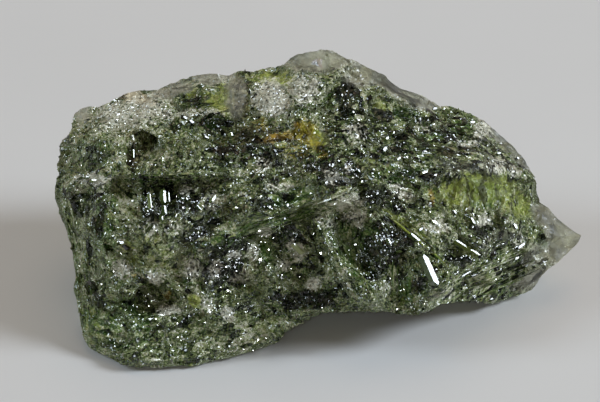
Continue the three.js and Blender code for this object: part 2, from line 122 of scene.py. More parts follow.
# The fineness of the material's patterns, as repeats in a millimetre
CLOUDS_PER_MM = 0.8  # light and dark stretches of 1.2 mm
BENDS_PER_MM = 2.0  # the cleavage wanders every 0.5 mm
STREAKS_PER_MM = 2.8  # fibres 0.36 mm apart, with finer ones between them
GRAINS_PER_MM = 3.4  # grains 0.3 mm wide
WEB_PER_MM = 3.6  # frosted grains 0.28 mm wide
SPECKS_PER_MM = 8.0  # small grains, 0.12 mm
GRIT_PER_MM = 12.0  # grit of 0.08 mm, coarser than the real grit
FLECKS_PER_MM = 15.0  # cleavage faces of 0.07 mm, about a pixel, coarser than the smallest real ones
BEND = 0.15  # millimetres

# What diopside does to light: how strongly it bends it, and how fast its body takes it up in a metre
REFRACTION = 1.68
ABSORPTION = 280.0

# The room, in metres
TABLE_HALF = 0.6
LIGHT_DISTANCE = 0.6
NEAREST_SEEN = 0.01
FARTHEST_SEEN = 10

# Lights: (name, azimuth, elevation, width in metres, watts, colour)
LIGHTS = [
    ("key", KEY_AZIMUTH, KEY_ELEVATION, 0.21, 2.42, (0.83, 0.91, 1.0)),
    ("fill", -KEY_AZIMUTH, KEY_ELEVATION, 0.21, 1.03, (0.75, 0.88, 1.0)),
    ("overhead", 180, 58, 0.45, 0.52, (1.0, 0.78, 0.54)),
    ("lamp", LAMP_AZIMUTH, LAMP_ELEVATION, 0.035, 0.2, (0.92, 0.97, 1.0)),
]

# The crystals of the near side: (pixel across, pixel down, how their cleavage runs in degrees)
CRYSTALS = [
    (90, 120, -20), (120, 104, -10), (150, 112, -25), (200, 92, 15), (135, 150, 80), (175, 140, -55),
    (95, 160, 5), (84, 190, 20), (72, 215, -72), (98, 220, -68), (80, 260, -64), (98, 292, -58),
    (84, 320, -50), (125, 205, -55), (150, 202, 88), (170, 200, 89), (192, 200, 72), (215, 188, 12),
    (240, 200, 4), (268, 205, 12), (122, 245, -38), (150, 238, 66), (165, 258, 42), (172, 225, 40),
    (196, 235, 15), (217, 232, 20), (118, 275, -62), (150, 282, -42), (182, 284, -18), (190, 262, 62),
    (140, 302, -8), (104, 330, -30), (145, 335, 10), (190, 338, 14), (240, 328, 16), (290, 309, 6),
    (230, 292, 2), (214, 266, 62), (248, 265, 80), (272, 250, -36), (292, 240, -40), (300, 268, -28),
    (326, 230, -70), (338, 262, -50), (362, 280, -50), (322, 286, 10), (258, 225, 22), (300, 207, 21),
    (338, 195, 21), (358, 206, 32), (344, 226, 82), (385, 240, -50), (392, 215, -38), (392, 270, 88),
    (406, 290, 88), (420, 228, -42), (440, 240, -35), (426, 268, -65), (458, 252, -32), (482, 232, -30),
    (500, 248, 30), (522, 236, 44), (450, 286, 33), (484, 276, 27), (522, 270, 33), (546, 254, 30),
    (480, 194, 86), (448, 192, 80), (516, 202, 62), (392, 115, -14), (420, 124, -16), (400, 142, -10),
    (440, 150, 10), (430, 167, 8), (470, 160, -4), (480, 130, 12), (504, 160, 0), (380, 165, -20),
    (402, 190, -28), (424, 206, -14), (350, 165, 0), (345, 130, -12), (350, 98, 80), (304, 90, 42),
    (265, 95, 62), (240, 95, 85), (308, 130, 70), (280, 140, 10), (300, 160, 14), (330, 166, 30),
    (250, 135, -20), (220, 125, 0), (250, 165, 20), (220, 160, 0), (286, 180, 14), (318, 60, 10),
    (360, 74, -20), (402, 92, -28), (558, 232, -34), (566, 246, 30),
]

# A patch is (pixel across, pixel down, half its width, half its height, its turn in degrees, strength)
PALE = [
    (540, 268, 20, 10, 30, 0.6), (152, 140, 10, 10, 0, 0.6), (158, 298, 14, 10, 0, 0.7),
    (66, 142, 8, 24, 0, 0.6), (474, 279, 16, 8, 28, 0.5), (172, 92, 26, 9, 18, 1.1),
    (215, 80, 22, 10, 0, 1.1), (236, 94, 10, 20, 0, 0.5), (420, 100, 22, 9, -30, 0.9),
    (78, 255, 9, 32, 16, 0.9), (94, 300, 10, 22, 20, 0.9), (112, 332, 24, 14, 0, 0.6),
    # Painted light: (290, 262) lightens the shaded cavity under the ridge, and the four broad patches from
    # (90, 200) to (235, 250) lighten the left, the top and the middle of the near side where the lamps give
    # too little light.
    (290, 262, 16, 14, 0, 0.9), (222, 100, 12, 14, 0, 0.6), (90, 200, 60, 120, 0, 0.35),
    (130, 310, 100, 70, 0, 0.25), (290, 90, 110, 40, 0, 0.35), (235, 250, 80, 50, 0, 0.25),
    (118, 122, 52, 26, 8, 1.0), (160, 155, 22, 16, 0, 0.7), (88, 182, 26, 13, 0, 0.5),
    (126, 208, 17, 20, 0, 0.75), (150, 238, 34, 16, 0, 0.5), (165, 268, 42, 20, 0, 0.6),
    (128, 338, 52, 26, 0, 0.3), (238, 334, 60, 20, 10, 0.7), (280, 318, 28, 12, 24, 0.6),
    # Painted highlight: (345, 202) and (356, 216) whiten the lip by the dome, which lies in shade, as if the
    # main light caught it.
    (345, 202, 26, 10, 20, 1.1), (356, 216, 14, 12, 20, 1.0), (134, 192, 16, 8, 0, 0.8),
    (470, 160, 50, 16, 0, 0.3), (436, 232, 28, 20, -30, 0.6), (462, 290, 62, 12, 14, 0.3),
    (520, 268, 36, 14, 20, 0.4), (250, 262, 9, 24, 0, 0.55), (340, 280, 18, 14, 0, 0.5),
    (222, 228, 16, 10, 0, 0.6), (250, 226, 14, 8, 20, 0.6), (75, 230, 7, 40, 18, 0.5),
    (352, 128, 16, 16, 0, 0.3), (402, 262, 16, 14, 0, 0.6), (270, 190, 40, 6, 10, 0.4),
    (430, 125, 30, 5, -10, 0.35), (210, 186, 24, 6, 10, 0.4), (93, 285, 5, 24, 24, 0.7),
    (500, 218, 34, 9, -10, 0.35), (400, 192, 22, 6, -28, 0.4), (470, 272, 26, 8, 24, 0.4),
    (478, 165, 40, 8, 0, 0.5),
]
DARK = [
    (174, 326, 20, 8, 0, 0.4), (268, 222, 24, 8, 20, 0.5), (354, 104, 9, 16, 0, 0.8),
    (340, 172, 18, 9, 0, 0.8), (430, 145, 100, 45, -16, 0.5), (292, 148, 60, 24, 0, 0.45),
    (485, 280, 60, 20, 28, 0.35), (500, 262, 60, 34, 20, 0.25), (520, 262, 22, 9, 30, 0.7),
    (70, 200, 9, 18, 0, 0.4), (470, 192, 2.5, 12, 0, 0.8), (484, 198, 3, 14, 0, 0.9),
    (497, 190, 2.5, 12, 0, 0.8), (512, 204, 2.5, 9, 0, 0.7), (131, 154, 6, 16, 0, 0.4),
    # (163, 180) is partly the dark cleavage band under the ledge and partly painted shade below the ledge's
    # lip.
    (147, 139, 10, 9, 0, 0.2), (92, 156, 16, 12, 0, 0.6), (163, 180, 44, 5, 0, 0.7),
    (150, 203, 14, 26, 0, 0.8), (182, 203, 20, 22, 0, 0.6), (205, 208, 14, 20, 0, 0.5),
    (196, 232, 26, 10, 24, 0.9), (226, 246, 30, 9, 14, 0.9), (222, 270, 24, 26, 0, 0.9),
    (290, 232, 26, 16, 0, 0.7), (278, 266, 26, 26, 0, 0.1), (308, 262, 18, 18, 0, 0.2),
    (342, 224, 13, 14, 0, 0.6), (300, 300, 40, 9, 0, 0.9), (372, 262, 16, 26, 20, 0.8),
    (392, 240, 22, 22, 0, 0.9), (342, 180, 26, 10, 0, 0.9), (385, 198, 26, 12, -24, 1.0),
    (285, 152, 40, 10, 0, 0.5), (214, 125, 16, 10, 0, 1.0), (246, 142, 18, 14, 0, 0.7),
    (344, 98, 9, 22, 0, 1.3), (415, 134, 14, 9, 0, 0.6), (444, 131, 11, 7, 0, 0.9),
    (452, 147, 24, 7, 0, 0.7), (480, 234, 12, 8, 0, 1.0), (455, 254, 20, 13, -30, 0.7),
    (140, 300, 24, 11, 0, 0.2), (100, 304, 12, 7, 0, 0.7), (96, 210, 11, 34, 0, 0.7),
    (334, 288, 18, 6, 20, 0.8), (420, 286, 10, 10, 0, 1.0), (508, 238, 14, 8, 0, 0.5),
    (400, 172, 26, 8, 0, 0.5), (320, 165, 22, 7, 0, 0.9), (268, 200, 26, 9, 12, 0.7),
    (192, 98, 12, 6, 0, 0.4), (96, 296, 4, 18, 30, 0.9), (350, 170, 12, 9, 0, 0.9),
    (390, 140, 20, 14, 0, 0.5), (230, 150, 24, 10, 0, 0.6), (240, 178, 40, 5, 0, 0.4),
    (402, 276, 8, 6, 0, 1.0), (425, 175, 18, 6, 0, 0.8), (430, 200, 16, 8, 0, 0.7),
    (88, 252, 9, 14, 0, 0.6), (240, 306, 16, 6, 0, 0.5),
]
FROST = [
    (132, 114, 46, 15, 8, 0.8), (272, 98, 20, 20, 0, 1.3), (303, 88, 20, 15, 0, 0.8),
    (482, 130, 12, 10, 0, 0.7), (515, 172, 7, 7, 0, 0.7), (354, 134, 12, 13, 0, 0.6),
    (352, 202, 16, 10, 15, 0.7), (262, 166, 10, 9, 0, 0.5), (92, 179, 20, 6, 0, 0.9),
    (332, 178, 10, 9, 0, 0.5), (233, 254, 8, 7, 0, 1.0), (313, 284, 9, 8, 0, 1.3), (386, 288, 7, 8, 0, 0.3),
    (484, 223, 10, 7, 0, 1.0), (121, 270, 10, 9, 0, 0.9), (155, 276, 9, 7, 0, 0.9),
    (169, 309, 14, 6, 0, 1.1), (467, 142, 15, 5, 0, 0.5), (425, 126, 14, 5, -20, 0.4),
    (355, 219, 9, 12, 20, 0.7), (214, 268, 8, 12, -30, 0.8), (228, 314, 8, 7, 0, 0.9),
    (208, 306, 7, 9, 0, 0.6), (488, 246, 9, 7, 0, 0.3), (192, 268, 10, 14, 0, 0.8),
    (150, 228, 8, 9, 0, 0.6), (172, 226, 12, 9, 0, 0.4), (252, 252, 8, 12, 0, 0.7),
    (238, 276, 12, 6, 20, 0.7), (264, 230, 9, 7, -30, 0.9), (402, 190, 16, 6, -30, 0.7),
    (346, 168, 7, 6, 0, 0.5), (326, 222, 7, 14, 60, 0.6), (496, 165, 12, 9, 0, 0.5),
    (438, 226, 14, 8, 0, 0.6), (518, 240, 9, 7, 0, 0.3), (295, 246, 12, 5, -40, 0.9),
    (214, 200, 12, 12, 0, 0.5), (186, 190, 8, 8, 0, 0.6), (200, 112, 30, 5, 0, 0.6),
    # Painted light: (286, 264) and (300, 256) put white specks in the shaded cavity under the ridge to
    # lighten it.
    (286, 264, 9, 6, 0, 0.8), (300, 256, 8, 6, 0, 0.8), (350, 220, 7, 5, 0, 1.0), (303, 92, 26, 14, 0, 0.3),
    (445, 296, 12, 7, 20, 0.3), (340, 182, 20, 4, 10, 0.3), (280, 186, 16, 5, 14, 0.5),
]
LAYERED = [
    (485, 282, 66, 18, 28, 1.0), (285, 216, 66, 13, 22, 0.9), (402, 206, 40, 9, -34, 0.8),
    (240, 234, 50, 8, 20, 0.7), (76, 240, 9, 60, 12, 0.6), (94, 292, 8, 30, 24, 0.7),
    (352, 262, 8, 44, 32, 0.8), (170, 240, 30, 10, 40, 0.4), (430, 166, 44, 7, 4, 0.6),
    (430, 138, 64, 26, -12, 0.5), (165, 340, 80, 12, 8, 0.45), (300, 150, 40, 8, 0, 0.4),
    (440, 244, 34, 6, -36, 0.8), (482, 194, 46, 18, 0, 0.6),
]
STAIN = [
    (306, 133, 13, 17, 0, 1.0), (278, 139, 14, 6, 0, 0.6), (262, 124, 9, 6, 0, 0.4),
    (322, 156, 7, 6, 0, 0.8), (294, 152, 20, 7, 0, 0.4), (316, 142, 7, 12, 0, 0.7),
]
RUST = [
    (275, 140, 15, 6, 0, 0.9), (290, 137, 7, 7, 0, 0.9), (260, 142, 6, 5, 0, 0.7), (300, 122, 5, 6, 0, 0.6),
    (133, 274, 2.2, 2.2, 0, 1.5), (171, 295, 2.4, 2.4, 0, 1.5), (434, 194, 2.5, 12, 12, 0.9),
    (322, 158, 4, 4, 0, 0.8),
]
OLIVE = [
    (222, 100, 13, 14, 0, 0.9), (273, 79, 28, 7, 0, 0.9), (382, 106, 9, 6, 0, 0.8),
    (478, 191, 50, 19, 0, 1.0), (518, 206, 20, 14, -30, 0.9), (195, 303, 8, 7, 0, 1.0),
    (150, 252, 34, 18, 0, 0.3), (318, 140, 12, 12, 0, 0.6), (373, 160, 5, 5, 0, 0.8),
    (190, 90, 10, 8, 0, 0.4), (240, 332, 50, 16, 8, 0.2), (400, 222, 26, 6, -36, 0.6),
    (90, 330, 16, 24, 0, 0.25), (255, 292, 30, 8, 0, 0.2),
]
GREEN = [
    (540, 262, 24, 14, 30, 0.4), (362, 240, 26, 24, 0, 0.6), (290, 256, 24, 16, 0, 0.5),
    (120, 322, 46, 30, 0, 0.6), (406, 290, 8, 17, 0, 1.1), (290, 195, 40, 8, 18, 0.6),
    (432, 136, 18, 8, 0, 0.7), (546, 242, 9, 8, 0, 0.9), (104, 225, 18, 34, 0, 0.6),
    (350, 264, 6, 38, 38, 0.4), (460, 127, 12, 7, 0, 0.9), (240, 232, 60, 7, 20, 0.7),
    (213, 122, 12, 8, 0, 0.8), (95, 150, 24, 22, 0, 0.5), (400, 175, 34, 10, 0, 0.5),
    (484, 196, 18, 17, 0, 0.9), (270, 256, 24, 16, 0, 0.6), (74, 270, 6, 40, 6, 0.6),
    (405, 112, 14, 6, 0, 0.7), (330, 100, 14, 10, 0, 0.5), (300, 105, 10, 5, 0, 0.6),
    (120, 262, 26, 10, 0, 0.4), (180, 286, 22, 6, 0, 0.5),
]
BROWN = [
    (138, 142, 15, 16, 0, 0.6), (240, 100, 13, 24, 0, 1.0), (258, 134, 30, 14, 0, 0.7),
    (200, 94, 14, 8, 0, 0.4), (300, 165, 40, 10, 0, 0.5), (134, 157, 8, 9, 0, 0.9),
    (330, 120, 10, 30, 0, 0.4), (460, 148, 24, 8, 0, 0.5), (232, 146, 20, 14, 0, 0.4),
    (232, 208, 26, 10, 0, 0.5),
]
CREAM = [(138, 99, 14, 6, -8, 1.6), (149, 105, 8, 5, 0, 0.9), (158, 95, 8, 5, -20, 0.6)]
CLEAR = [
    (318, 60, 36, 12, 0, 1.0), (215, 78, 24, 8, 0, 0.6), (392, 84, 52, 8, -27, 1.0),
    (568, 240, 24, 34, 0, 1.1), (508, 140, 50, 8, -46, 1.0), (540, 276, 30, 10, 30, 0.6),
    (80, 112, 12, 8, 30, 0.5), (236, 96, 12, 22, 0, 0.35), (478, 165, 40, 8, 0, 0.15),
    (548, 214, 14, 14, 0, 0.7), (172, 92, 24, 7, 18, 0.5), (420, 100, 22, 7, -30, 0.6),
    (540, 254, 20, 12, 20, 0.35), (500, 234, 22, 8, 0, 0.1), (356, 78, 16, 10, -10, 0.5),
]
SPARKLE = [
    (344, 220, 9, 7, 0, 1.0), (385, 236, 14, 12, 0, 0.9), (300, 248, 14, 9, -40, 0.9),
    (228, 262, 14, 13, 0, 0.9), (330, 242, 14, 12, 0, 0.7), (262, 240, 18, 10, 0, 0.8),
    (195, 238, 16, 6, 20, 0.7), (283, 226, 14, 8, 0, 0.8), (152, 206, 10, 16, 0, 0.8),
    (182, 205, 12, 14, 0, 0.7), (468, 256, 18, 10, 0, 0.6), (505, 245, 12, 8, 0, 0.6),
    (358, 246, 16, 24, 0, 0.8), (285, 262, 22, 22, 0, 0.9), (140, 298, 20, 9, 0, 0.8),
    (280, 146, 16, 8, 0, 0.5),
]
ZONES = {
    "pale": PALE, "dark": DARK, "frost": FROST, "stain": STAIN, "rust": RUST, "olive": OLIVE,
    "green": GREEN, "brown": BROWN, "cream": CREAM, "clear": CLEAR, "layered": LAYERED, "sparkle": SPARKLE,
}

# The sides that the picture doesn't show: (size of a zone's patches in millimetres, how rare, strength)
FAR_ZONES = {
    "pale": (5.0, 0.0, 0.6), "dark": (4.0, 0.0, 0.9), "frost": (2.4, 0.22, 0.9), "stain": (3.5, 0.5, 0.9),
    "olive": (3.5, 0.3, 0.8), "green": (3.5, 0.1, 0.7), "brown": (4.0, 0.25, 0.7),
}

# Cleavage strips that flash in the main light: (start and end pixel, width in pixels)
FLASHES = [
    (424, 254, 438, 285, 5.6), (411, 233, 420, 241, 2.4), (456, 240, 480, 255, 1.7),
    (432, 220, 438, 224, 2.8), (471, 217, 475, 224, 2.2), (459, 211, 463, 219, 2.2),
    (454, 210, 456, 214, 2.0), (514, 223, 517, 229, 2.8), (543, 233, 545, 239, 2.6),
    (518, 248, 525, 243, 2.2), (162, 214, 163, 220, 1.4), (153, 211, 154, 221, 1.2),
    (149, 231, 153, 224, 2.2), (120, 243, 124, 242, 2.2), (124, 244, 130, 249, 1.8),
    (90, 280, 99, 291, 1.2), (86, 262, 88, 268, 1.8), (203, 190, 211, 186, 1.6), (212, 201, 216, 196, 2.4),
    (197, 205, 202, 210, 1.0), (294, 243, 305, 253, 2.2), (298, 214, 304, 211, 1.6),
    (284, 219, 287, 217, 2.0), (80, 178, 85, 177, 1.8), (86, 176, 90, 178, 1.6), (92, 180, 99, 180, 1.6),
    (80, 211, 84, 219, 1.2), (462, 276, 471, 271, 1.1), (515, 259, 519, 257, 1.8),
    (383, 150, 387, 147, 2.2), (386, 139, 389, 137, 2.2), (397, 160, 401, 157, 1.8),
    (422, 173, 428, 171, 2.2), (470, 122, 475, 122, 1.8), (433, 109, 437, 108, 1.8),
    (340, 219, 344, 215, 1.8), (345, 222, 348, 219, 1.8), (184, 116, 187, 119, 2.2),
    (190, 120, 194, 123, 2.4), (205, 136, 208, 138, 1.8), (231, 132, 233, 136, 1.8),
    (134, 149, 134, 158, 1.2), (353, 111, 354, 113, 2.0), (497, 153, 501, 153, 1.6),
    (388, 238, 391, 244, 2.0), (398, 250, 402, 252, 2.0), (419, 230, 423, 228, 2.0),
    (187, 288, 192, 293, 1.8), (244, 286, 247, 285, 1.8), (320, 272, 323, 270, 2.0),
    (393, 133, 395, 132, 2.0), (260, 197, 262, 196, 1.8), (269, 206, 271, 208, 2.2),
    (287, 206, 289, 204, 2.2), (235, 207, 238, 208, 1.8), (325, 183, 328, 182, 1.8),
    (358, 169, 360, 172, 1.6), (361, 182, 363, 181, 1.8), (434, 175, 437, 175, 1.8),
    (507, 155, 510, 153, 1.6), (517, 157, 519, 159, 1.8), (487, 219, 490, 221, 1.6),
    (478, 237, 480, 239, 1.6),
]

# Strips of the plates under the ledge, which stand out as far as its lip
LEDGE_FLASHES = [
    (165, 188, 165.5, 203, 2.8), (169.5, 192, 170, 202, 1.4), (165.5, 205, 166.5, 214, 2.0),
    (151, 193, 152, 208, 1.1),
]

# Long edges of single crystals: (start and end pixel, width and height in pixels, zone)
RIDGES = [
    (331, 226, 377, 299, 3.6, 1.4, "green"), (318, 226, 334, 241, 1.4, 0.6, "pale"),
    (420, 241, 452, 273, 1.6, 0.8, "green"), (438, 262, 450, 272, 1.0, 0.5, "pale"),
    (226, 239, 290, 213, 4.0, 2.2, "green"), (286, 214, 346, 193, 4.0, 2.4, "pale"),
    (118, 186, 150, 184, 1.4, 0.6, "pale"), (392, 259, 393, 300, 2.6, 1.0, "green"),
    (436, 288, 468, 270, 1.6, 0.8, "pale"), (385, 214, 446, 264, 3.2, 1.2, "olive"),
    (205, 240, 240, 228, 2.0, 0.8, "green"), (150, 250, 172, 238, 1.2, 0.5, "green"),
    (72, 206, 80, 250, 2.4, 0.8, "pale"), (80, 250, 92, 296, 2.6, 0.8, "green"),
    (405, 166, 440, 163, 1.6, 0.6, "pale"), (402, 122, 430, 127, 1.6, 0.6, "pale"),
    (390, 101, 425, 106, 1.2, 0.4, "pale"), (455, 138, 476, 136, 1.8, 0.6, "pale"),
    (176, 248, 192, 240, 1.2, 0.5, "pale"), (255, 236, 283, 246, 1.6, 0.6, "pale"),
    (500, 262, 540, 244, 1.8, 0.7, "pale"), (246, 236, 251, 247, 1.2, 0.5, "pale"),
    (450, 296, 500, 276, 1.6, 0.7, "pale"), (476, 297, 530, 276, 1.6, 0.7, "green"),
    (448, 284, 486, 268, 1.4, 0.6, "pale"), (488, 284, 540, 262, 1.6, 0.7, "pale"),
    (120, 176, 206, 174, 2.2, 1.2, "green"), (128, 236, 146, 256, 1.2, 0.5, "pale"),
    (448, 226, 470, 240, 1.4, 0.6, "pale"), (466, 222, 500, 236, 1.4, 0.6, "green"),
    # The two frost edges by the dome stand up to catch the main light, and their white is partly a painted
    # highlight.
    (334, 198, 362, 207, 3.0, 1.6, "frost"), (360, 207, 366, 226, 2.4, 1.2, "frost"),
    (262, 214, 300, 200, 1.6, 0.7, "green"), (300, 222, 336, 206, 1.4, 0.6, "green"),
    (196, 262, 202, 300, 1.6, 0.7, "pale"),
]

# Rows of parallel edges: (start and end pixel, how many, pixels between them, width, height, zone)
STACKS = [
    (436, 298, 546, 250, 7, 5.0, 1.8, 1.3, "pale"), (228, 240, 340, 198, 4, 4.0, 1.8, 1.2, "green"),
    (68, 208, 92, 298, 3, 5.0, 1.8, 1.0, "pale"), (388, 212, 446, 258, 3, 4.5, 1.6, 1.0, "olive"),
    (398, 262, 396, 302, 3, 4.0, 1.8, 1.2, "green"), (124, 183, 204, 180, 3, 2.5, 1.4, 0.8, "green"),
    (386, 180, 440, 196, 3, 5.0, 1.5, 0.9, "green"), (396, 158, 450, 150, 3, 5.0, 1.5, 0.8, "green"),
    (300, 168, 346, 146, 3, 5.0, 1.5, 0.8, "green"), (460, 232, 500, 252, 3, 5.0, 1.5, 0.9, "pale"),
    (200, 236, 236, 226, 3, 4.5, 1.5, 0.9, "green"), (262, 84, 246, 112, 2, 5.0, 1.5, 0.8, "brown"),
]


# Places and directions

def pixel_ray(across, down):
    """The direction from the eye through a pixel"""
    sideways = VIEW_RIGHT * (across - VIEW_MIDDLE[0]) / PIXELS_PER_MM
    upwards = VIEW_UP * (VIEW_MIDDLE[1] - down) / PIXELS_PER_MM
    ray = VIEW_DISTANCE * VIEW_AHEAD + sideways + upwards
    return ray / np.linalg.norm(ray)


def pixels_of(points):
    """The pixels that points in millimetres are seen at"""
    offset = points - EYE
    shrink = VIEW_DISTANCE * PIXELS_PER_MM / (offset @ VIEW_AHEAD)
    across = VIEW_MIDDLE[0] + (offset @ VIEW_RIGHT) * shrink
    down = VIEW_MIDDLE[1] - (offset @ VIEW_UP) * shrink
    return np.stack([across, down], axis=1)


def smooth(low, high, values):
    """From 0 at low to 1 at high, with soft ends"""
    share = np.clip((values - low) / (high - low), 0, 1)
    return share * share * (3 - 2 * share)


def unit(vectors):
    return vectors / np.maximum(np.linalg.norm(vectors, axis=-1, keepdims=True), 1e-9)


# Repeatable noise on points in millimetres. Each use has a channel of its own

def cell_value(cells, channel):
    """One random number from 0 to 1 for each cell and channel"""
    mask = np.uint64(0xFFFFFFFF)
    x, y, z = (cells[:, i].astype(np.int64).astype(np.uint64) for i in range(3))
    key = np.uint64((channel * 1274126177 + SEED * 97) & 0xFFFFFFFF)
    mixed = (x * np.uint64(374761393) + y * np.uint64(668265263) + z * np.uint64(2147483587) + key) & mask
    mixed = ((mixed ^ (mixed >> np.uint64(15))) * np.uint64(2246822519)) & mask
    mixed = ((mixed ^ (mixed >> np.uint64(13))) * np.uint64(3266489917)) & mask
    return (mixed ^ (mixed >> np.uint64(16))).astype(float) / 2.0**32


def cell_vector(cells, channel):
    return np.stack([cell_value(cells, channel + i) for i in range(3)], axis=1)


def waves(points, size, channel=0):
    """Smooth noise from -1 to 1"""
    place = points / size
    cell = np.floor(place)
    share = smooth(0, 1, place - cell)
    total = np.zeros(len(points))
    for corner in range(8):
        step = np.array([corner & 1, (corner >> 1) & 1, corner >> 2])
        weight = np.prod(np.where(step, share, 1 - share), axis=1)
        total += weight * cell_value(cell + step, channel)
    return total * 2 - 1


def cloudy(points, size, channel=0):
    """Smooth noise with finer noise on it"""
    return sum(waves(points, size / 2**k, channel + k) / 2**k for k in range(4)) / 1.6


def nearest_cell(points, size, channel, blocky=False):
    """The random cell that each point lies in, and its offset from the cell's middle in cell sizes"""
    cell = np.floor(points / size)
    nearest = np.full(len(points), 1e9)
    home = np.zeros_like(points)
    offset = np.zeros_like(points)
    for corner in range(27):
        around = cell + np.array([corner % 3, corner // 3 % 3, corner // 9]) - 1
        away = points / size - around - cell_vector(around, channel)
        distance = np.abs(away).max(axis=1) if blocky else np.linalg.norm(away, axis=1)
        closer = distance < nearest
        nearest = np.where(closer, distance, nearest)
        home = np.where(closer[:, None], around, home)
        offset = np.where(closer[:, None], away, offset)
    return home, offset


def grain_faces(points, size, tilt, channel, blocky=False):
    """Each grain's broken face: a step from -1 to 1 and a slope of its own"""
    home, offset = nearest_cell(points, size, channel, blocky)
    slope = cell_vector(home, channel + 3) * 2 - 1
    return cell_value(home, channel + 6) * 2 - 1 + tilt * (offset * slope).sum(axis=1)


def broken_faces(place, kinds, channel, blocky=False):
    """The height of some kinds of grains, one on another"""
    return sum(
        height * grain_faces(place, size, slope, channel + 10 * i, blocky)
        for i, (height, size, slope) in enumerate(kinds)
    )


# The zones and crystals of the surface

def patch_cover(patches, pixels):
    """How much of a list of patches lies on each point of the near side"""
    cover = np.zeros(len(pixels))
    for across, down, half_width, half_height, turn, strength in patches:
        angle = math.radians(turn)
        dx = pixels[:, 0] - across
        dy = down - pixels[:, 1]
        u = (dx * math.cos(angle) + dy * math.sin(angle)) / half_width
        v = (dy * math.cos(angle) - dx * math.sin(angle)) / half_height
        cover = np.maximum(cover, strength * smooth(1.25, 0.5, np.hypot(u, v)))
    return cover


def zones(points, normals):
    """The share of each kind of surface at each point"""
    ragged = np.stack([cloudy(points, 1.1, 40 + 4 * i) for i in range(2)], axis=1)
    pixels = pixels_of(points) + RAGGED_EDGE * ragged
    near = smooth(-0.2, 0.1, -(normals @ VIEW_AHEAD))
    cover = {}
    for number, (name, patches) in enumerate(ZONES.items()):
        seen = near if name != "clear" else 1
        cover[name] = patch_cover(patches, pixels) * seen
        if name in FAR_ZONES:
            size, start, strength = FAR_ZONES[name]
            patchy = smooth(start, start + 0.35, cloudy(points, size, 50 + 5 * number))
            cover[name] += (1 - near) * strength * patchy
    return cover


def crystals(points, normals):
    """The crystal that each point lies in: its number, and its directions along, across and out"""
    homes = np.array(CRYSTALS, float)
    ragged = np.stack([cloudy(points, 1.6, 20 + 4 * i) for i in range(2)], axis=1)
    pixels = pixels_of(points) + RAGGED_CRYSTAL * ragged
    distance = ((pixels[:, None, :] - homes[None, :, :2]) ** 2).sum(axis=2)
    number = distance.argmin(axis=1)
    wandering = points + 0.5 * ragged[:, [0, 1, 0]]
    home, _ = nearest_cell(wandering, CRYSTAL_SIZE, 30)
    spread = 256
    far_number = len(homes) + (cell_value(home, 36) * spread).astype(int)
    is_far = normals @ VIEW_AHEAD + 0.15 * ragged[:, 0] > -0.05
    number = np.where(is_far, far_number, number)

    total = len(homes) + spread
    angles = np.radians(homes[:, 2])[:, None]
    index = np.arange(total)[:, None] * np.ones(3)
    along = cell_vector(index, 38) * 2 - 1
    along[: len(homes)] = np.cos(angles) * VIEW_RIGHT + np.sin(angles) * VIEW_UP
    out = np.stack([np.bincount(number, normals[:, i], minlength=total) for i in range(3)], axis=1)
    out = unit(out + 1e-6) + 0.5 * (cell_vector(index, 42) * 2 - 1)
    along = unit(along - (along * unit(out)).sum(axis=1)[:, None] * unit(out))
    across = unit(np.cross(out, along))
    frames = np.stack([along, across, np.cross(along, across)], axis=1)
    middle = np.stack([np.bincount(number, points[:, i], minlength=total) for i in range(3)], axis=1)
    middle = middle / np.maximum(np.bincount(number, minlength=total), 1)[:, None]
    return number, frames, middle


# The broken surface

def relief(points, cover, number, frames, middle):
    """Height of the fine relief over the faceted solid, and each point's place in its own crystal"""
    wandering = points + 0.08 * np.stack([waves(points, 0.8, 30 + i) for i in range(3)], axis=1)
    place = np.einsum("nij,nj->ni", frames[number], wandering) + 7.3 * number[:, None]
    stretched = place * np.array([RUN_STRETCH, 1, 1])
    index = number[:, None] * np.ones(3)
    lean = (cell_vector(index, 46) * 2 - 1) * np.array([1, 1, 0])
    own = np.einsum("nij,nj->ni", frames[number], points - middle[number])
    ledges = CRYSTAL_STEP * (cell_value(index, 49) * 2 - 1) + CRYSTAL_LEAN * (own * lean).sum(axis=1)
    granular = broken_faces(stretched, GRANULAR, 100)
    cleaved = broken_faces(stretched, CLEAVED, 130, blocky=True)
    layers = broken_faces(place * np.array([LAYER_STRETCH, 1, 1]), LAYERS, 150, blocky=True)
    share = np.clip(cover["dark"], 0, 1)
    height = granular * (1 - share) + cleaved * share
    share = np.clip(cover["layered"], 0, 1)
    height = height * (1 - 0.7 * share) + layers * share + np.clip(ledges, -MOST_STEP, MOST_STEP)
    height = height * (1 - 0.35 * np.clip(cover["frost"], 0, 1)) * (1 - 0.75 * np.clip(cover["clear"], 0, 1))

    # The patterns of a layered crystal are drawn out along its cleavage
    layered = np.bincount(number, cover["layered"]) / np.maximum(np.bincount(number), 1)
    drawn_out = 1 - (1 - PATTERN_STRETCH) * np.clip(1.4 * layered - 0.2, 0, 1)[number]
    place[:, 0] *= drawn_out
    return height, place


def eased(points, edges, locked, rounds):
    """Points drawn towards the middle of their neighbours"""
    count = np.bincount(edges.ravel(), minlength=len(points))[:, None]
    for _ in range(rounds):
        total = np.zeros_like(points)
        for a, b in ((0, 1), (1, 0)):
            for axis in range(3):
                total[:, axis] += np.bincount(edges[:, a], points[edges[:, b], axis], minlength=len(points))
        points = np.where(locked[:, None], points, points * 0.5 + 0.5 * total / count)
    return points


def vertex_normals(mesh):
    normals = np.zeros(len(mesh.vertices) * 3)
    mesh.vertex_normals.foreach_get("vector", normals)
    return normals.reshape(-1, 3)


def vertex_places(mesh):
    """The mesh's points in millimetres"""
    places = np.zeros(len(mesh.vertices) * 3)
    mesh.vertices.foreach_get("co", places)
    return places.reshape(-1, 3) / MM


def set_places(mesh, points):
    mesh.vertices.foreach_set("co", (points * MM).ravel())
    mesh.update()


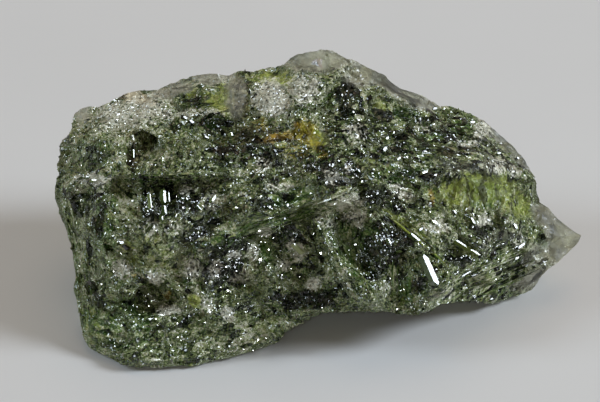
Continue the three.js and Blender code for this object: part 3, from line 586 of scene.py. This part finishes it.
def kept_in_box(mesh):
    """Nothing stands out of the lump's own box"""
    low, high = (np.array(corner) / MM for corner in cad_box)
    set_places(mesh, np.clip(vertex_places(mesh), low + FOOT_CLEARANCE, high - FOOT_CLEARANCE))


def set_values(mesh, name, values):
    """A number or a direction for each point of the mesh"""
    values = values.astype(np.float32)
    if values.ndim == 2:
        mesh.attributes.new(name, "FLOAT_VECTOR", "POINT").data.foreach_set("vector", values.ravel())
    else:
        mesh.attributes.new(name, "FLOAT", "POINT").data.foreach_set("value", values)


def fine_copy(node):
    """The faceted solid's mesh as one closed skin with smaller triangles"""
    shape = bmesh.new()
    shape.from_mesh(node.data)
    bmesh.ops.remove_doubles(shape, verts=shape.verts, dist=1e-7)
    bmesh.ops.subdivide_edges(shape, edges=shape.edges, cuts=SURFACE_CUTS, use_grid_fill=True)
    bmesh.ops.triangulate(shape, faces=shape.faces)
    mesh = bpy.data.meshes.new("broken_surface")
    shape.to_mesh(mesh)
    shape.free()
    return mesh


def broken_surface(node):
    """The lump's skin with its fine relief. Its zones and the run of its cleavage are kept as attributes"""
    mesh = fine_copy(node)
    points = vertex_places(mesh)
    edges = np.zeros(len(mesh.edges) * 2, int)
    mesh.edges.foreach_get("vertices", edges)
    on_table = points[:, 2] < 1e-4
    points = eased(points, edges.reshape(-1, 2), on_table, EASING_ROUNDS)
    set_places(mesh, points)
    normals = vertex_normals(mesh)
    cover = zones(points, normals)
    number, frames, middle = crystals(points, normals)
    height, place = relief(points, cover, number, frames, middle)
    rim = smooth(0.05, 0.45, np.abs(normals @ VIEW_AHEAD))
    free = np.where(on_table, 0, smooth(0, FOOT_BAND, points[:, 2])) * (0.35 + 0.65 * rim)
    points = points + normals * (height * free)[:, None]
    low, high = (np.array(corner) / MM for corner in cad_box)
    points = np.clip(points, low, high)
    points[:, 2] = np.where(on_table, 0, np.maximum(points[:, 2], FOOT_CLEARANCE))
    set_places(mesh, points)
    for name, share in cover.items():
        set_values(mesh, name, share)
    set_values(mesh, "crystal_place", place)
    set_values(mesh, "run", frames[number][:, 0])

    # Where small crystals stand out of the break: not at the foot, on the rims or on clear glass
    facing = np.abs(normals @ VIEW_AHEAD)
    room = smooth(0.3, 0.8, points[:, 2]) * (1 - 0.95 * np.clip(cover["clear"] * 1.4, 0, 1))
    grainy = 0.8 * cover["frost"] + 0.5 * cover["pale"] - 0.6 * cover["dark"] - 0.4 * cover["layered"]
    rough = 0.25 + np.clip(grainy, -0.2, 1)
    set_values(mesh, "room", room * rough * smooth(0.1, 0.4, facing))
    fibrous = 0.25 + np.clip(cover["olive"] + 0.4 * cover["green"], 0, 1)
    set_values(mesh, "fibrous_room", room * fibrous * smooth(0.3, 0.6, facing))
    return mesh


# Materials

def linear(code):
    """A colour written as sRGB hex, as linear light"""
    parts = [int(code[i : i + 2], 16) / 255 for i in (1, 3, 5)]
    return [p / 12.92 if p <= 0.04045 else ((p + 0.055) / 1.055) ** 2.4 for p in parts] + [1.0]


def add(tree, kind, sockets=(), **settings):
    """One node with its settings, and its sockets set or linked"""
    node = tree.nodes.new(kind)
    for name, value in settings.items():
        setattr(node, name, value)
    for socket, value in dict(sockets).items():
        if isinstance(value, bpy.types.NodeSocket):
            tree.links.new(value, node.inputs[socket])
        else:
            node.inputs[socket].default_value = value
    return node


def new_material(name):
    material = bpy.data.materials.new(name)
    material.use_nodes = True
    material.node_tree.nodes.clear()
    return material, material.node_tree


def ramp_of(tree, factor, stops):
    """A colour for each place of the factor, blended between the stops"""
    ramp = add(tree, "ShaderNodeValToRGB", {"Fac": factor})
    elements = ramp.color_ramp.elements
    while len(elements) < len(stops):
        elements.new(0.5)
    for element, (place, code) in zip(elements, stops):
        element.position = place
        element.color = linear(code)
    return ramp.outputs["Color"]


def summed(tree, terms, start=0.0):
    """The sum of some outputs, each times its weight"""
    total = start
    for output, weight in terms:
        term = {0: output, 1: weight, 2: total}
        total = add(tree, "ShaderNodeMath", term, operation="MULTIPLY_ADD").outputs[0]
    return total


def by_grain(tree, share, grain, spread=0.9, sharpness=3.0):
    """A zone that takes whole grains where its share is high enough, so that it has a broken edge"""
    raised = summed(tree, [(share, 1.0), (grain, spread)], -0.5 * spread - 0.5)
    sharpened = {0: raised, 1: sharpness, 2: 0.5}
    return add(tree, "ShaderNodeMath", sharpened, operation="MULTIPLY_ADD", use_clamp=True).outputs[0]


# Broken diopside: grains of clear to dark green pyroxene with glassy cleavage faces. Each grain has its
# own tone and its own tilt, so single grains flash, and light enters the clear ones and is lost in the green.
def broken_diopside():
    material, tree = new_material("broken_diopside")
    place = add(tree, "ShaderNodeAttribute", attribute_name="crystal_place").outputs["Vector"]
    cover = {}
    for name in list(ZONES) + ["plane", "own_tone"]:
        cover[name] = add(tree, "ShaderNodeAttribute", attribute_name=name).outputs["Fac"]

    # The pattern lies in each crystal's own directions, in millimetres, drawn out along its cleavage
    wander = add(tree, "ShaderNodeTexNoise", {
        "Vector": place, "Scale": BENDS_PER_MM, "Detail": 2.0,
    }).outputs["Color"]
    spot = add(tree, "ShaderNodeVectorMath", {
        0: wander, 1: (BEND,) * 3, 2: place,
    }, operation="MULTIPLY_ADD").outputs[0]
    run = add(tree, "ShaderNodeVectorMath", {
        0: spot, 1: (FIBRE_STRETCH, 1, 1),
    }, operation="MULTIPLY").outputs[0]
    streak, cloud, grit = (
        add(tree, "ShaderNodeTexNoise", {
            "Vector": where, "Scale": per_mm, "Detail": detail, "Roughness": roughness,
        }).outputs["Fac"]
        for where, per_mm, detail, roughness in (
            (run, STREAKS_PER_MM, 5.0, 0.8), (spot, CLOUDS_PER_MM, 2.0, 0.5), (spot, GRIT_PER_MM, 2.0, 0.8),
        )
    )
    grain, speck, fleck = (
        add(tree, "ShaderNodeTexVoronoi", {"Vector": where, "Scale": per_mm}).outputs["Color"]
        for where, per_mm in ((run, GRAINS_PER_MM), (spot, SPECKS_PER_MM), (spot, FLECKS_PER_MM))
    )
    web = add(tree, "ShaderNodeTexVoronoi", {
        "Vector": spot, "Scale": WEB_PER_MM,
    }, feature="DISTANCE_TO_EDGE").outputs["Distance"]

    # Three random numbers for each grain, small grain and cleavage face
    grain_parts, speck_parts, fleck_parts = (
        add(tree, "ShaderNodeSeparateColor", {0: cells}).outputs for cells in (grain, speck, fleck)
    )

    dark = by_grain(tree, cover["dark"], grain_parts[1], 1.0, 2.4)
    pale = by_grain(tree, cover["pale"], grain_parts[2], 1.0, 2.4)
    frost = by_grain(tree, cover["frost"], speck_parts[2], 0.8, 2.6)
    tone = summed(tree, [
        (streak, 1.5), (cloud, 0.5), (grit, 1.3), (grain_parts[0], 0.18), (speck_parts[0], 0.22),
        (fleck_parts[0], 0.44), (pale, 0.22), (dark, -0.32), (cover["own_tone"], 0.22), (cover["clear"], 0.1),
    ], -1.51)
    colour = ramp_of(tree, tone, [
        (0.05, "#0a110d"), (0.25, "#1a2a1a"), (0.45, "#40552b"),
        (0.63, "#74894b"), (0.80, "#a9b57b"), (0.97, "#e8e8d4"),
    ])

    # The hues of the zones: (zone, colour, strength, how plainly it covers the pattern, the grains it takes)
    hues = [
        ("green", "#4c7a2a", 0.75, 0.45, grain_parts[0]), ("olive", "#b3bf4c", 0.85, 0.45, grain_parts[2]),
        ("brown", "#54492a", 0.8, 0.45, speck_parts[1]), ("stain", "#c8b23c", 0.85, 0.45, speck_parts[0]),
        ("rust", "#c2a03e", 0.8, 0.45, speck_parts[1]), ("cream", "#fff4d8", 1.0, 0.85, speck_parts[1]),
    ]
    for name, code, strength, plain, grains in hues:
        dye = linear(code)
        tinted = add(tree, "ShaderNodeMix", {
            0: 1.0, 6: colour, 7: dye,
        }, data_type="RGBA", blend_type="OVERLAY").outputs[2]
        dyed = add(tree, "ShaderNodeMix", {0: plain, 6: tinted, 7: dye}, data_type="RGBA").outputs[2]
        taken = by_grain(tree, cover[name], grains, 0.7, 2.2)
        share = add(tree, "ShaderNodeMath", {0: taken, 1: strength}, operation="MULTIPLY").outputs[0]
        colour = add(tree, "ShaderNodeMix", {0: share, 6: colour, 7: dyed}, data_type="RGBA").outputs[2]

    # The clear rims are nearly colourless
    rim = add(tree, "ShaderNodeMath", {0: cover["clear"], 1: 1.5}, operation="MULTIPLY").outputs[0]
    rim = add(tree, "ShaderNodeMath", {0: rim, 1: 0.76}, operation="MINIMUM").outputs[0]
    colour = add(tree, "ShaderNodeMix", {
        0: rim, 6: colour, 7: linear("#f2f1dd"),
    }, data_type="RGBA").outputs[2]

    # Frosted grains show as a white web with dark glass between its threads
    threads = add(tree, "ShaderNodeMapRange", {0: web, 1: 0.02, 2: 0.16, 3: 1.0, 4: 0.0}).outputs[0]
    whiteness = summed(tree, [(threads, 0.9), (fleck_parts[0], 0.9), (streak, 1.6), (grit, 1.2)], -1.2)
    whiteness = add(tree, "ShaderNodeMath", {
        0: whiteness, 1: 0.0,
    }, operation="ADD", use_clamp=True).outputs[0]
    white_share = add(tree, "ShaderNodeMath", {
        0: whiteness, 1: frost,
    }, operation="MULTIPLY", use_clamp=True).outputs[0]
    colour = add(tree, "ShaderNodeMix", {
        0: white_share, 6: colour, 7: linear("#e6e6d3"),
    }, data_type="RGBA").outputs[2]

    # Some small cleavage faces lie the same way and flash together
    flecked = summed(tree, [
        (fleck_parts[1], 1.0), (cloud, 0.3), (cover["clear"], -0.5), (cover["olive"], -0.2),
        (frost, 0.12), (cover["sparkle"], 0.16),
    ], -1.12)
    flashing = add(tree, "ShaderNodeMath", {0: flecked, 1: 0.0}, operation="GREATER_THAN").outputs[0]

    rough = add(tree, "ShaderNodeMapRange", {0: speck_parts[1], 3: 0.06, 4: 0.34}).outputs[0]
    matt = summed(tree, [
        (white_share, 0.3), (cover["clear"], 0.35), (cover["plane"], -0.3), (cover["olive"], 0.3),
        (flashing, -0.3), (rough, 1.0),
    ])
    rough = add(tree, "ShaderNodeMath", {0: matt, 1: 0.05}, operation="MAXIMUM", use_clamp=True).outputs[0]

    glassy = summed(tree, [
        (dark, 0.5), (cover["clear"], 0.9), (white_share, -0.6), (grain_parts[1], 0.2),
    ], 0.05)
    glassy = add(tree, "ShaderNodeMath", {0: glassy, 1: 0.95}, operation="MINIMUM", use_clamp=True).outputs[0]

    # Each grain leans its own way, all but those of the clear rims and the flat cleavage faces
    unevenness = summed(tree, [
        (cover["clear"], -0.8), (cover["plane"], -1.0), (dark, 0.5), (cover["olive"], -0.5),
        (cover["layered"], -0.25),
    ], 0.7)
    lean = add(tree, "ShaderNodeMath", {
        0: unevenness, 1: 0.0,
    }, operation="MAXIMUM", use_clamp=True).outputs[0]
    fine_lean, grain_lean = (
        add(tree, "ShaderNodeVectorMath", {0: cells, 1: (0.5,) * 3}, operation="SUBTRACT").outputs[0]
        for cells in (speck, grain)
    )
    both = add(tree, "ShaderNodeVectorMath", {
        0: fine_lean, 1: (2.2,) * 3, 2: grain_lean,
    }, operation="MULTIPLY_ADD").outputs[0]
    leaning = add(tree, "ShaderNodeVectorMath", {0: both, "Scale": lean}, operation="SCALE").outputs[0]
    level = add(tree, "ShaderNodeNewGeometry").outputs["Normal"]
    normal = add(tree, "ShaderNodeVectorMath", {0: leaning, 1: level}, operation="ADD").outputs[0]

    # A flashing face lies towards the main light, the fill or the small lamp, each a little its own way
    side = add(tree, "ShaderNodeMath", {0: fleck_parts[2], 1: 0.7}, operation="GREATER_THAN").outputs[0]
    over = add(tree, "ShaderNodeMath", {0: fleck_parts[2], 1: 0.4}, operation="LESS_THAN").outputs[0]
    flash = add(tree, "ShaderNodeMix", {
        0: side, 4: tuple(FLASH - 0.07), 5: tuple(SIDE_FLASH - 0.07),
    }, data_type="VECTOR").outputs[1]
    flash = add(tree, "ShaderNodeMix", {
        0: over, 4: flash, 5: tuple(LAMP_FLASH - 0.05),
    }, data_type="VECTOR").outputs[1]
    flash = add(tree, "ShaderNodeVectorMath", {
        0: fleck, 1: (0.12,) * 3, 2: flash,
    }, operation="MULTIPLY_ADD").outputs[0]
    normal = add(tree, "ShaderNodeMix", {0: flashing, 4: normal, 5: flash}, data_type="VECTOR").outputs[1]
    normal = add(tree, "ShaderNodeVectorMath", {0: normal}, operation="NORMALIZE").outputs[0]

    shader = add(tree, "ShaderNodeBsdfPrincipled", {
        "Base Color": colour, "Roughness": rough, "Transmission Weight": glassy,
        "Normal": normal, "IOR": REFRACTION,
    })
    body = add(tree, "ShaderNodeVolumeAbsorption", {"Color": linear("#b4c4a2"), "Density": ABSORPTION})
    add(tree, "ShaderNodeOutputMaterial", {"Surface": shader.outputs[0], "Volume": body.outputs[0]})
    return material


# Pale matt table top, with clouds of 17 mm that are barely seen
def pale_table():
    material, tree = new_material("pale_table")
    place = add(tree, "ShaderNodeTexCoord").outputs["Object"]
    cloud = add(tree, "ShaderNodeTexNoise", {"Vector": place, "Scale": 60.0, "Detail": 3.0}).outputs["Fac"]
    colour = ramp_of(tree, cloud, [(0.3, "#e2e2e2"), (0.7, "#e5e5e5")])
    shader = add(tree, "ShaderNodeBsdfPrincipled", {
        "Base Color": colour, "Roughness": 0.6, "Specular IOR Level": 0.2,
    })
    add(tree, "ShaderNodeOutputMaterial", {"Surface": shader.outputs[0]})
    return material


# Splinters and grains that stand out of the break

def scatter_tree(name, seed, splinters):
    """Crystals strewn on a surface: splinters that lie along its run, or rounder grains"""
    tree = bpy.data.node_groups.new(name, "GeometryNodeTree")
    tree.interface.new_socket("Geometry", in_out="OUTPUT", socket_type="NodeSocketGeometry")
    tree.interface.new_socket("Geometry", in_out="INPUT", socket_type="NodeSocketGeometry")
    for size in ("Count per square metre", "Length", "Width", "Roughness of shape"):
        tree.interface.new_socket(size, in_out="INPUT", socket_type="NodeSocketFloat")
    tree.interface.new_socket("Material", in_out="INPUT", socket_type="NodeSocketMaterial")
    given = add(tree, "NodeGroupInput").outputs

    room = add(tree, "GeometryNodeInputNamedAttribute", {
        "Name": "fibrous_room" if splinters else "room",
    }, data_type="FLOAT").outputs["Attribute"]
    density = add(tree, "ShaderNodeMath", {
        0: room, 1: given["Count per square metre"],
    }, operation="MULTIPLY").outputs[0]
    strewn = add(tree, "GeometryNodeDistributePointsOnFaces", {
        "Mesh": given["Geometry"], "Density": density, "Seed": seed,
    }, distribute_method="RANDOM")

    # Each lies along the cleavage, a little astray, and flat on the surface
    run = add(tree, "GeometryNodeInputNamedAttribute", {
        "Name": "run",
    }, data_type="FLOAT_VECTOR").outputs["Attribute"]
    stray = add(tree, "FunctionNodeRandomValue", {
        0: (-0.25,) * 3, 1: (0.25,) * 3, "Seed": seed + 1,
    }, data_type="FLOAT_VECTOR").outputs[0]
    wanted = add(tree, "ShaderNodeVectorMath", {0: run, 1: stray}, operation="ADD").outputs[0]
    normal = strewn.outputs["Normal"]
    rising = add(tree, "ShaderNodeVectorMath", {0: wanted, 1: normal}, operation="PROJECT").outputs[0]
    heading = add(tree, "ShaderNodeVectorMath", {0: wanted, 1: rising}, operation="SUBTRACT").outputs[0]
    upright = add(tree, "FunctionNodeAlignRotationToVector", {"Vector": heading}, axis="Z").outputs[0]
    laid = add(tree, "FunctionNodeAlignRotationToVector", {
        "Rotation": upright, "Vector": normal,
    }, axis="X", pivot_axis="Z").outputs[0]

    spread, broad, tone = (
        add(tree, "FunctionNodeRandomValue", {
            2: least, 3: most, "Seed": seed + own,
        }, data_type="FLOAT").outputs[1]
        for least, most, own in ((0.45, 1.6, 2), (0.6, 1.5, 3), (-1.0, 1.0, 4))
    )
    length = add(tree, "ShaderNodeMath", {0: spread, 1: given["Length"]}, operation="MULTIPLY").outputs[0]
    width = add(tree, "ShaderNodeMath", {0: broad, 1: given["Width"]}, operation="MULTIPLY").outputs[0]
    thin = add(tree, "ShaderNodeMath", {0: width, 1: 0.7}, operation="MULTIPLY").outputs[0]
    scale = add(tree, "ShaderNodeCombineXYZ", {0: thin, 1: width, 2: length}).outputs[0]
    if splinters:
        crystal = add(tree, "GeometryNodeMeshCone", {
            "Vertices": 5, "Radius Top": 0.3, "Radius Bottom": 0.5, "Depth": 1.0,
        }, fill_type="NGON").outputs["Mesh"]
        middle = add(tree, "GeometryNodeTransform", {
            "Geometry": crystal, "Translation": (0, 0, -0.5),
        }).outputs[0]
    else:
        middle = add(tree, "GeometryNodeMeshCube", {"Size": (1.0, 0.8, 0.9)}).outputs["Mesh"]
        turn = add(tree, "FunctionNodeRandomValue", {
            0: (0, 0, 0), 1: (6.3, 6.3, 6.3), "Seed": seed + 6,
        }, data_type="FLOAT_VECTOR").outputs[0]
        laid = add(tree, "FunctionNodeEulerToRotation", {"Euler": turn}).outputs[0]
    depth = add(tree, "ShaderNodeMath", {0: given["Width"], 1: -SUNK_SHARE}, operation="MULTIPLY").outputs[0]
    sinking = add(tree, "ShaderNodeVectorMath", {0: normal, "Scale": depth}, operation="SCALE").outputs[0]
    sunk = add(tree, "GeometryNodeSetPosition", {
        "Geometry": strewn.outputs["Points"], "Offset": sinking,
    }).outputs[0]
    placed = add(tree, "GeometryNodeInstanceOnPoints", {
        "Points": sunk, "Instance": middle, "Rotation": laid, "Scale": scale,
    }).outputs[0]
    toned = add(tree, "GeometryNodeStoreNamedAttribute", {
        "Geometry": placed, "Name": "own_tone", "Value": tone,
    }, data_type="FLOAT", domain="INSTANCE").outputs[0]
    real = add(tree, "GeometryNodeRealizeInstances", {"Geometry": toned}).outputs[0]

    # Every corner is moved a little, so that no two crystals are alike
    crooked = add(tree, "FunctionNodeRandomValue", {
        0: (-1,) * 3, 1: (1,) * 3, "Seed": seed + 5,
    }, data_type="FLOAT_VECTOR").outputs[0]
    amount = add(tree, "ShaderNodeMath", {
        0: given["Roughness of shape"], 1: given["Width"],
    }, operation="MULTIPLY").outputs[0]
    shove = add(tree, "ShaderNodeVectorMath", {0: crooked, "Scale": amount}, operation="SCALE").outputs[0]
    broken = add(tree, "GeometryNodeSetPosition", {"Geometry": real, "Offset": shove}).outputs[0]
    finished = add(tree, "GeometryNodeSetMaterial", {
        "Geometry": broken, "Material": given["Material"],
    }).outputs[0]
    add(tree, "NodeGroupOutput", {"Geometry": finished})
    return tree


def strewn_crystals(name, surface, tree, sizes):
    """One joined mesh of the crystals that a tree strews on a surface"""
    host = bpy.data.objects.new(name + "_host", surface)
    bpy.context.scene.collection.objects.link(host)
    modifier = host.modifiers.new("strewn", "NODES")
    modifier.node_group = tree
    for socket in tree.interface.items_tree:
        if socket.name in sizes:
            modifier[socket.identifier] = sizes[socket.name]
    evaluated = host.evaluated_get(bpy.context.evaluated_depsgraph_get())
    mesh = bpy.data.meshes.new_from_object(evaluated)
    host.modifiers.remove(modifier)
    bpy.data.objects.remove(host)
    kept_in_box(mesh)
    return mesh


# Single crystals that the picture shows one by one

def flash_form(shape, start, end, width, top):
    """A flat strip with broken ends from start to end, with its broad face towards top"""
    along = end - start
    length = np.linalg.norm(along)
    along = along / length
    side = unit(np.cross(along, top))
    tip = min(0.3 * length, 0.9 * width)
    outline = [
        (0, 0.1), (tip, -0.5), (length - 0.5 * tip, -0.45),
        (length, -0.05), (length - tip, 0.5), (0.4 * tip, 0.45),
    ]
    rings = []
    for sink, swell in ((0, 1.0), (0.3 + 0.5 * width, 1.3)):
        ring = [start + along * u + side * v * width * swell - top * sink for u, v in outline]
        rings.append([shape.verts.new(point * MM) for point in ring])
    upper, lower = rings
    shape.faces.new(upper)
    shape.faces.new(lower[::-1])
    for i in range(len(upper)):
        j = (i + 1) % len(upper)
        shape.faces.new([upper[j], upper[i], lower[i], lower[j]])
    return upper + lower


def ridge_form(shape, spots, tops, width, height):
    """The sharp edge of a crystal along some places on the surface, pointed at both ends"""
    sections = []
    for i, (spot, top) in enumerate(zip(spots, tops)):
        along = unit(spots[min(i + 1, len(spots) - 1)] - spots[max(i - 1, 0)])
        side = unit(np.cross(along, top))
        share = 1 - abs(2 * i / (len(spots) - 1) - 1) ** 3
        half = width * (0.15 + 0.35 * share)
        corners = [
            spot + side * half - top * 0.05, spot + top * height * share,
            spot - side * half - top * 0.05, spot - top * 0.35,
        ]
        sections.append([shape.verts.new(corner * MM) for corner in corners])
    shape.faces.new(sections[0])
    shape.faces.new(sections[-1][::-1])
    for one, two in zip(sections, sections[1:]):
        for i in range(4):
            j = (i + 1) % 4
            shape.faces.new([one[j], one[i], two[i], two[j]])
    return [vertex for section in sections for vertex in section]


def rows_of_edges():
    """The edges of the stacks, each with ends of its own"""
    for number, (x0, y0, x1, y1, count, gap, width, height, zone) in enumerate(STACKS):
        length = math.hypot(x1 - x0, y1 - y0)
        for i in range(count):
            aside = (i - (count - 1) / 2) * gap
            dx, dy = -(y1 - y0) / length * aside, (x1 - x0) / length * aside
            ends = cell_value(np.array([[number, i, 0], [number, i, 1]]), 71)
            a, b = 0.3 * ends[0], 1 - 0.3 * ends[1]
            start = (x0 + (x1 - x0) * a + dx, y0 + (y1 - y0) * a + dy)
            end = (x0 + (x1 - x0) * b + dx, y0 + (y1 - y0) * b + dy)
            yield (*start, *end, width, height, zone)


def single_crystals(surface):
    """The long edges of single crystals and the cleavage strips that flash"""
    seen = BVHTree.FromPolygons(
        [vertex.co[:] for vertex in surface.vertices], [face.vertices[:] for face in surface.polygons],
    )
    shape = bmesh.new()
    layer = {name: shape.verts.layers.float.new(name) for name in ["plane", "own_tone"] + list(ZONES)}
    home = shape.verts.layers.float_vector.new("crystal_place")

    def hits_along(x0, y0, x1, y1, count):
        """Where the rays through the pixels of a line meet the surface"""
        places, normals = [], []
        for share in np.linspace(0, 1, count):
            ray = pixel_ray(x0 + (x1 - x0) * share, y0 + (y1 - y0) * share)
            spot, normal, _, _ = seen.ray_cast(Vector(EYE * MM), Vector(ray))
            if spot is not None:
                places.append(np.array(spot) / MM)
                normals.append(np.array(normal))
        return np.array(places), np.array(normals)

    lifted = [(strip, FLASH_LIFT) for strip in FLASHES] + [(strip, LEDGE_LIFT) for strip in LEDGE_FLASHES]
    for (x0, y0, x1, y1, width), lift in lifted:
        places, _ = hits_along(x0, y0, x1, y1, 3)
        flat = places[-1] - places[0]
        flat = flat - VIEW_AHEAD * (flat @ VIEW_AHEAD)
        along = flat - VIEW_AHEAD * (flat @ FLASH) / (VIEW_AHEAD @ FLASH)
        middle = places[len(places) // 2] - VIEW_AHEAD * lift
        for vertex in flash_form(shape, middle - along / 2, middle + along / 2, width / PIXELS_PER_MM, FLASH):
            vertex[layer["plane"]] = 1.0
            vertex[layer["dark"]] = 0.4
            vertex[home] = middle

    for number, (x0, y0, x1, y1, width, height, zone) in enumerate(RIDGES + list(rows_of_edges())):
        count = max(3, round(math.hypot(x1 - x0, y1 - y0) / RIDGE_STEP))
        places, normals = hits_along(x0, y0, x1, y1, count)
        tops = [unit(normals.mean(axis=0) - 0.5 * VIEW_AHEAD)] * len(places)
        tone = cell_value(np.full((1, 3), number), 47)[0] - 0.5
        along = unit(places[-1] - places[0])
        side = unit(np.cross(along, tops[0]))
        own_frame = np.array([along, side, np.cross(along, side)])
        drift = cloudy(places, 1.5, 60)[:, None] * side * 0.08
        for vertex in ridge_form(shape, places + drift, tops, width / PIXELS_PER_MM, height / PIXELS_PER_MM):
            vertex[layer[zone]] = 0.8
            vertex[layer["pale"]] = 0.6
            vertex[layer["plane"]] = 0.5
            vertex[layer["layered"]] = 1.0
            vertex[layer["own_tone"]] = tone
            vertex[home] = own_frame @ np.array(vertex.co) / MM * (PATTERN_STRETCH, 1, 1) + 5.1 * number
    bmesh.ops.triangulate(shape, faces=shape.faces)
    bmesh.ops.recalc_face_normals(shape, faces=shape.faces)
    mesh = bpy.data.meshes.new("single_crystals")
    shape.to_mesh(mesh)
    shape.free()
    kept_in_box(mesh)
    return mesh


# Table, light and camera

def table_top():
    side = TABLE_HALF
    mesh = bpy.data.meshes.new("table_top")
    corners = [(-side, -side, 0), (side, -side, 0), (side, side, 0), (-side, side, 0)]
    mesh.from_pydata(corners, [], [(0, 1, 2, 3)])
    mesh.materials.append(pale_table())
    table = bpy.data.objects.new("table_top", mesh)
    bpy.context.scene.collection.objects.link(table)


def soft_light(name, azimuth, elevation, size, power, colour):
    """A round light that faces the lump"""
    towards = Vector(light_direction(azimuth, elevation))
    lamp = bpy.data.lights.new(name, "AREA")
    lamp.shape = "DISK"
    lamp.size = size
    lamp.energy = power
    lamp.color = colour
    light = bpy.data.objects.new(name, lamp)
    light.location = towards * LIGHT_DISTANCE
    light.rotation_euler = towards.to_track_quat("Z", "Y").to_euler()
    bpy.context.scene.collection.objects.link(light)


def camera():
    """The camera stands at the eye and takes in the picture's width"""
    lens = bpy.data.cameras.new("camera")
    lens.sensor_width = SENSOR_WIDTH
    lens.lens = SENSOR_WIDTH * VIEW_DISTANCE * PIXELS_PER_MM / PICTURE_WIDTH
    lens.clip_start = NEAREST_SEEN
    lens.clip_end = FARTHEST_SEEN
    eye = bpy.data.objects.new("camera", lens)
    eye.location = Vector(EYE * MM)
    eye.rotation_euler = Vector(VIEW_AHEAD).to_track_quat("-Z", "Y").to_euler()
    bpy.context.scene.collection.objects.link(eye)
    bpy.context.scene.camera = eye


def surroundings():
    """A faint warm light from all sides"""
    world = bpy.data.worlds.new("studio")
    world.use_nodes = True
    background = world.node_tree.nodes["Background"]
    background.inputs["Color"].default_value = linear("#f4e0c6")
    background.inputs["Strength"].default_value = 0.15
    bpy.context.scene.world = world
    bpy.context.scene.view_settings.view_transform = "Standard"


def finished_piece(name, mesh, material):
    """A piece of the lump, in its place"""
    mesh.materials.clear()
    mesh.materials.append(material)
    piece = bpy.data.objects.new(name, mesh)
    bpy.context.scene.collection.objects.link(piece)
    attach(piece, "root")
    return piece


camera()
surroundings()
table_top()
for light in LIGHTS:
    soft_light(*light)

diopside = broken_diopside()
skin = broken_surface(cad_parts[LUMP])
splinters = strewn_crystals("splinters", skin, scatter_tree("strewn_splinters", 11, True), {
    "Count per square metre": 7.0e6, "Length": 0.30 * MM, "Width": 0.09 * MM, "Roughness of shape": 0.15,
    "Material": diopside,
})
grains = strewn_crystals("grains", skin, scatter_tree("strewn_grains", 23, False), {
    "Count per square metre": 12.0e6, "Length": 0.14 * MM, "Width": 0.12 * MM, "Roughness of shape": 0.15,
    "Material": diopside,
})
crystals_shown = single_crystals(skin)

lump = finished_piece("broken_lump", skin, diopside)
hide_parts(LUMP)
for name, mesh in (("splinters", splinters), ("grains", grains), ("single_crystals", crystals_shown)):
    finished_piece(name, mesh, diopside)
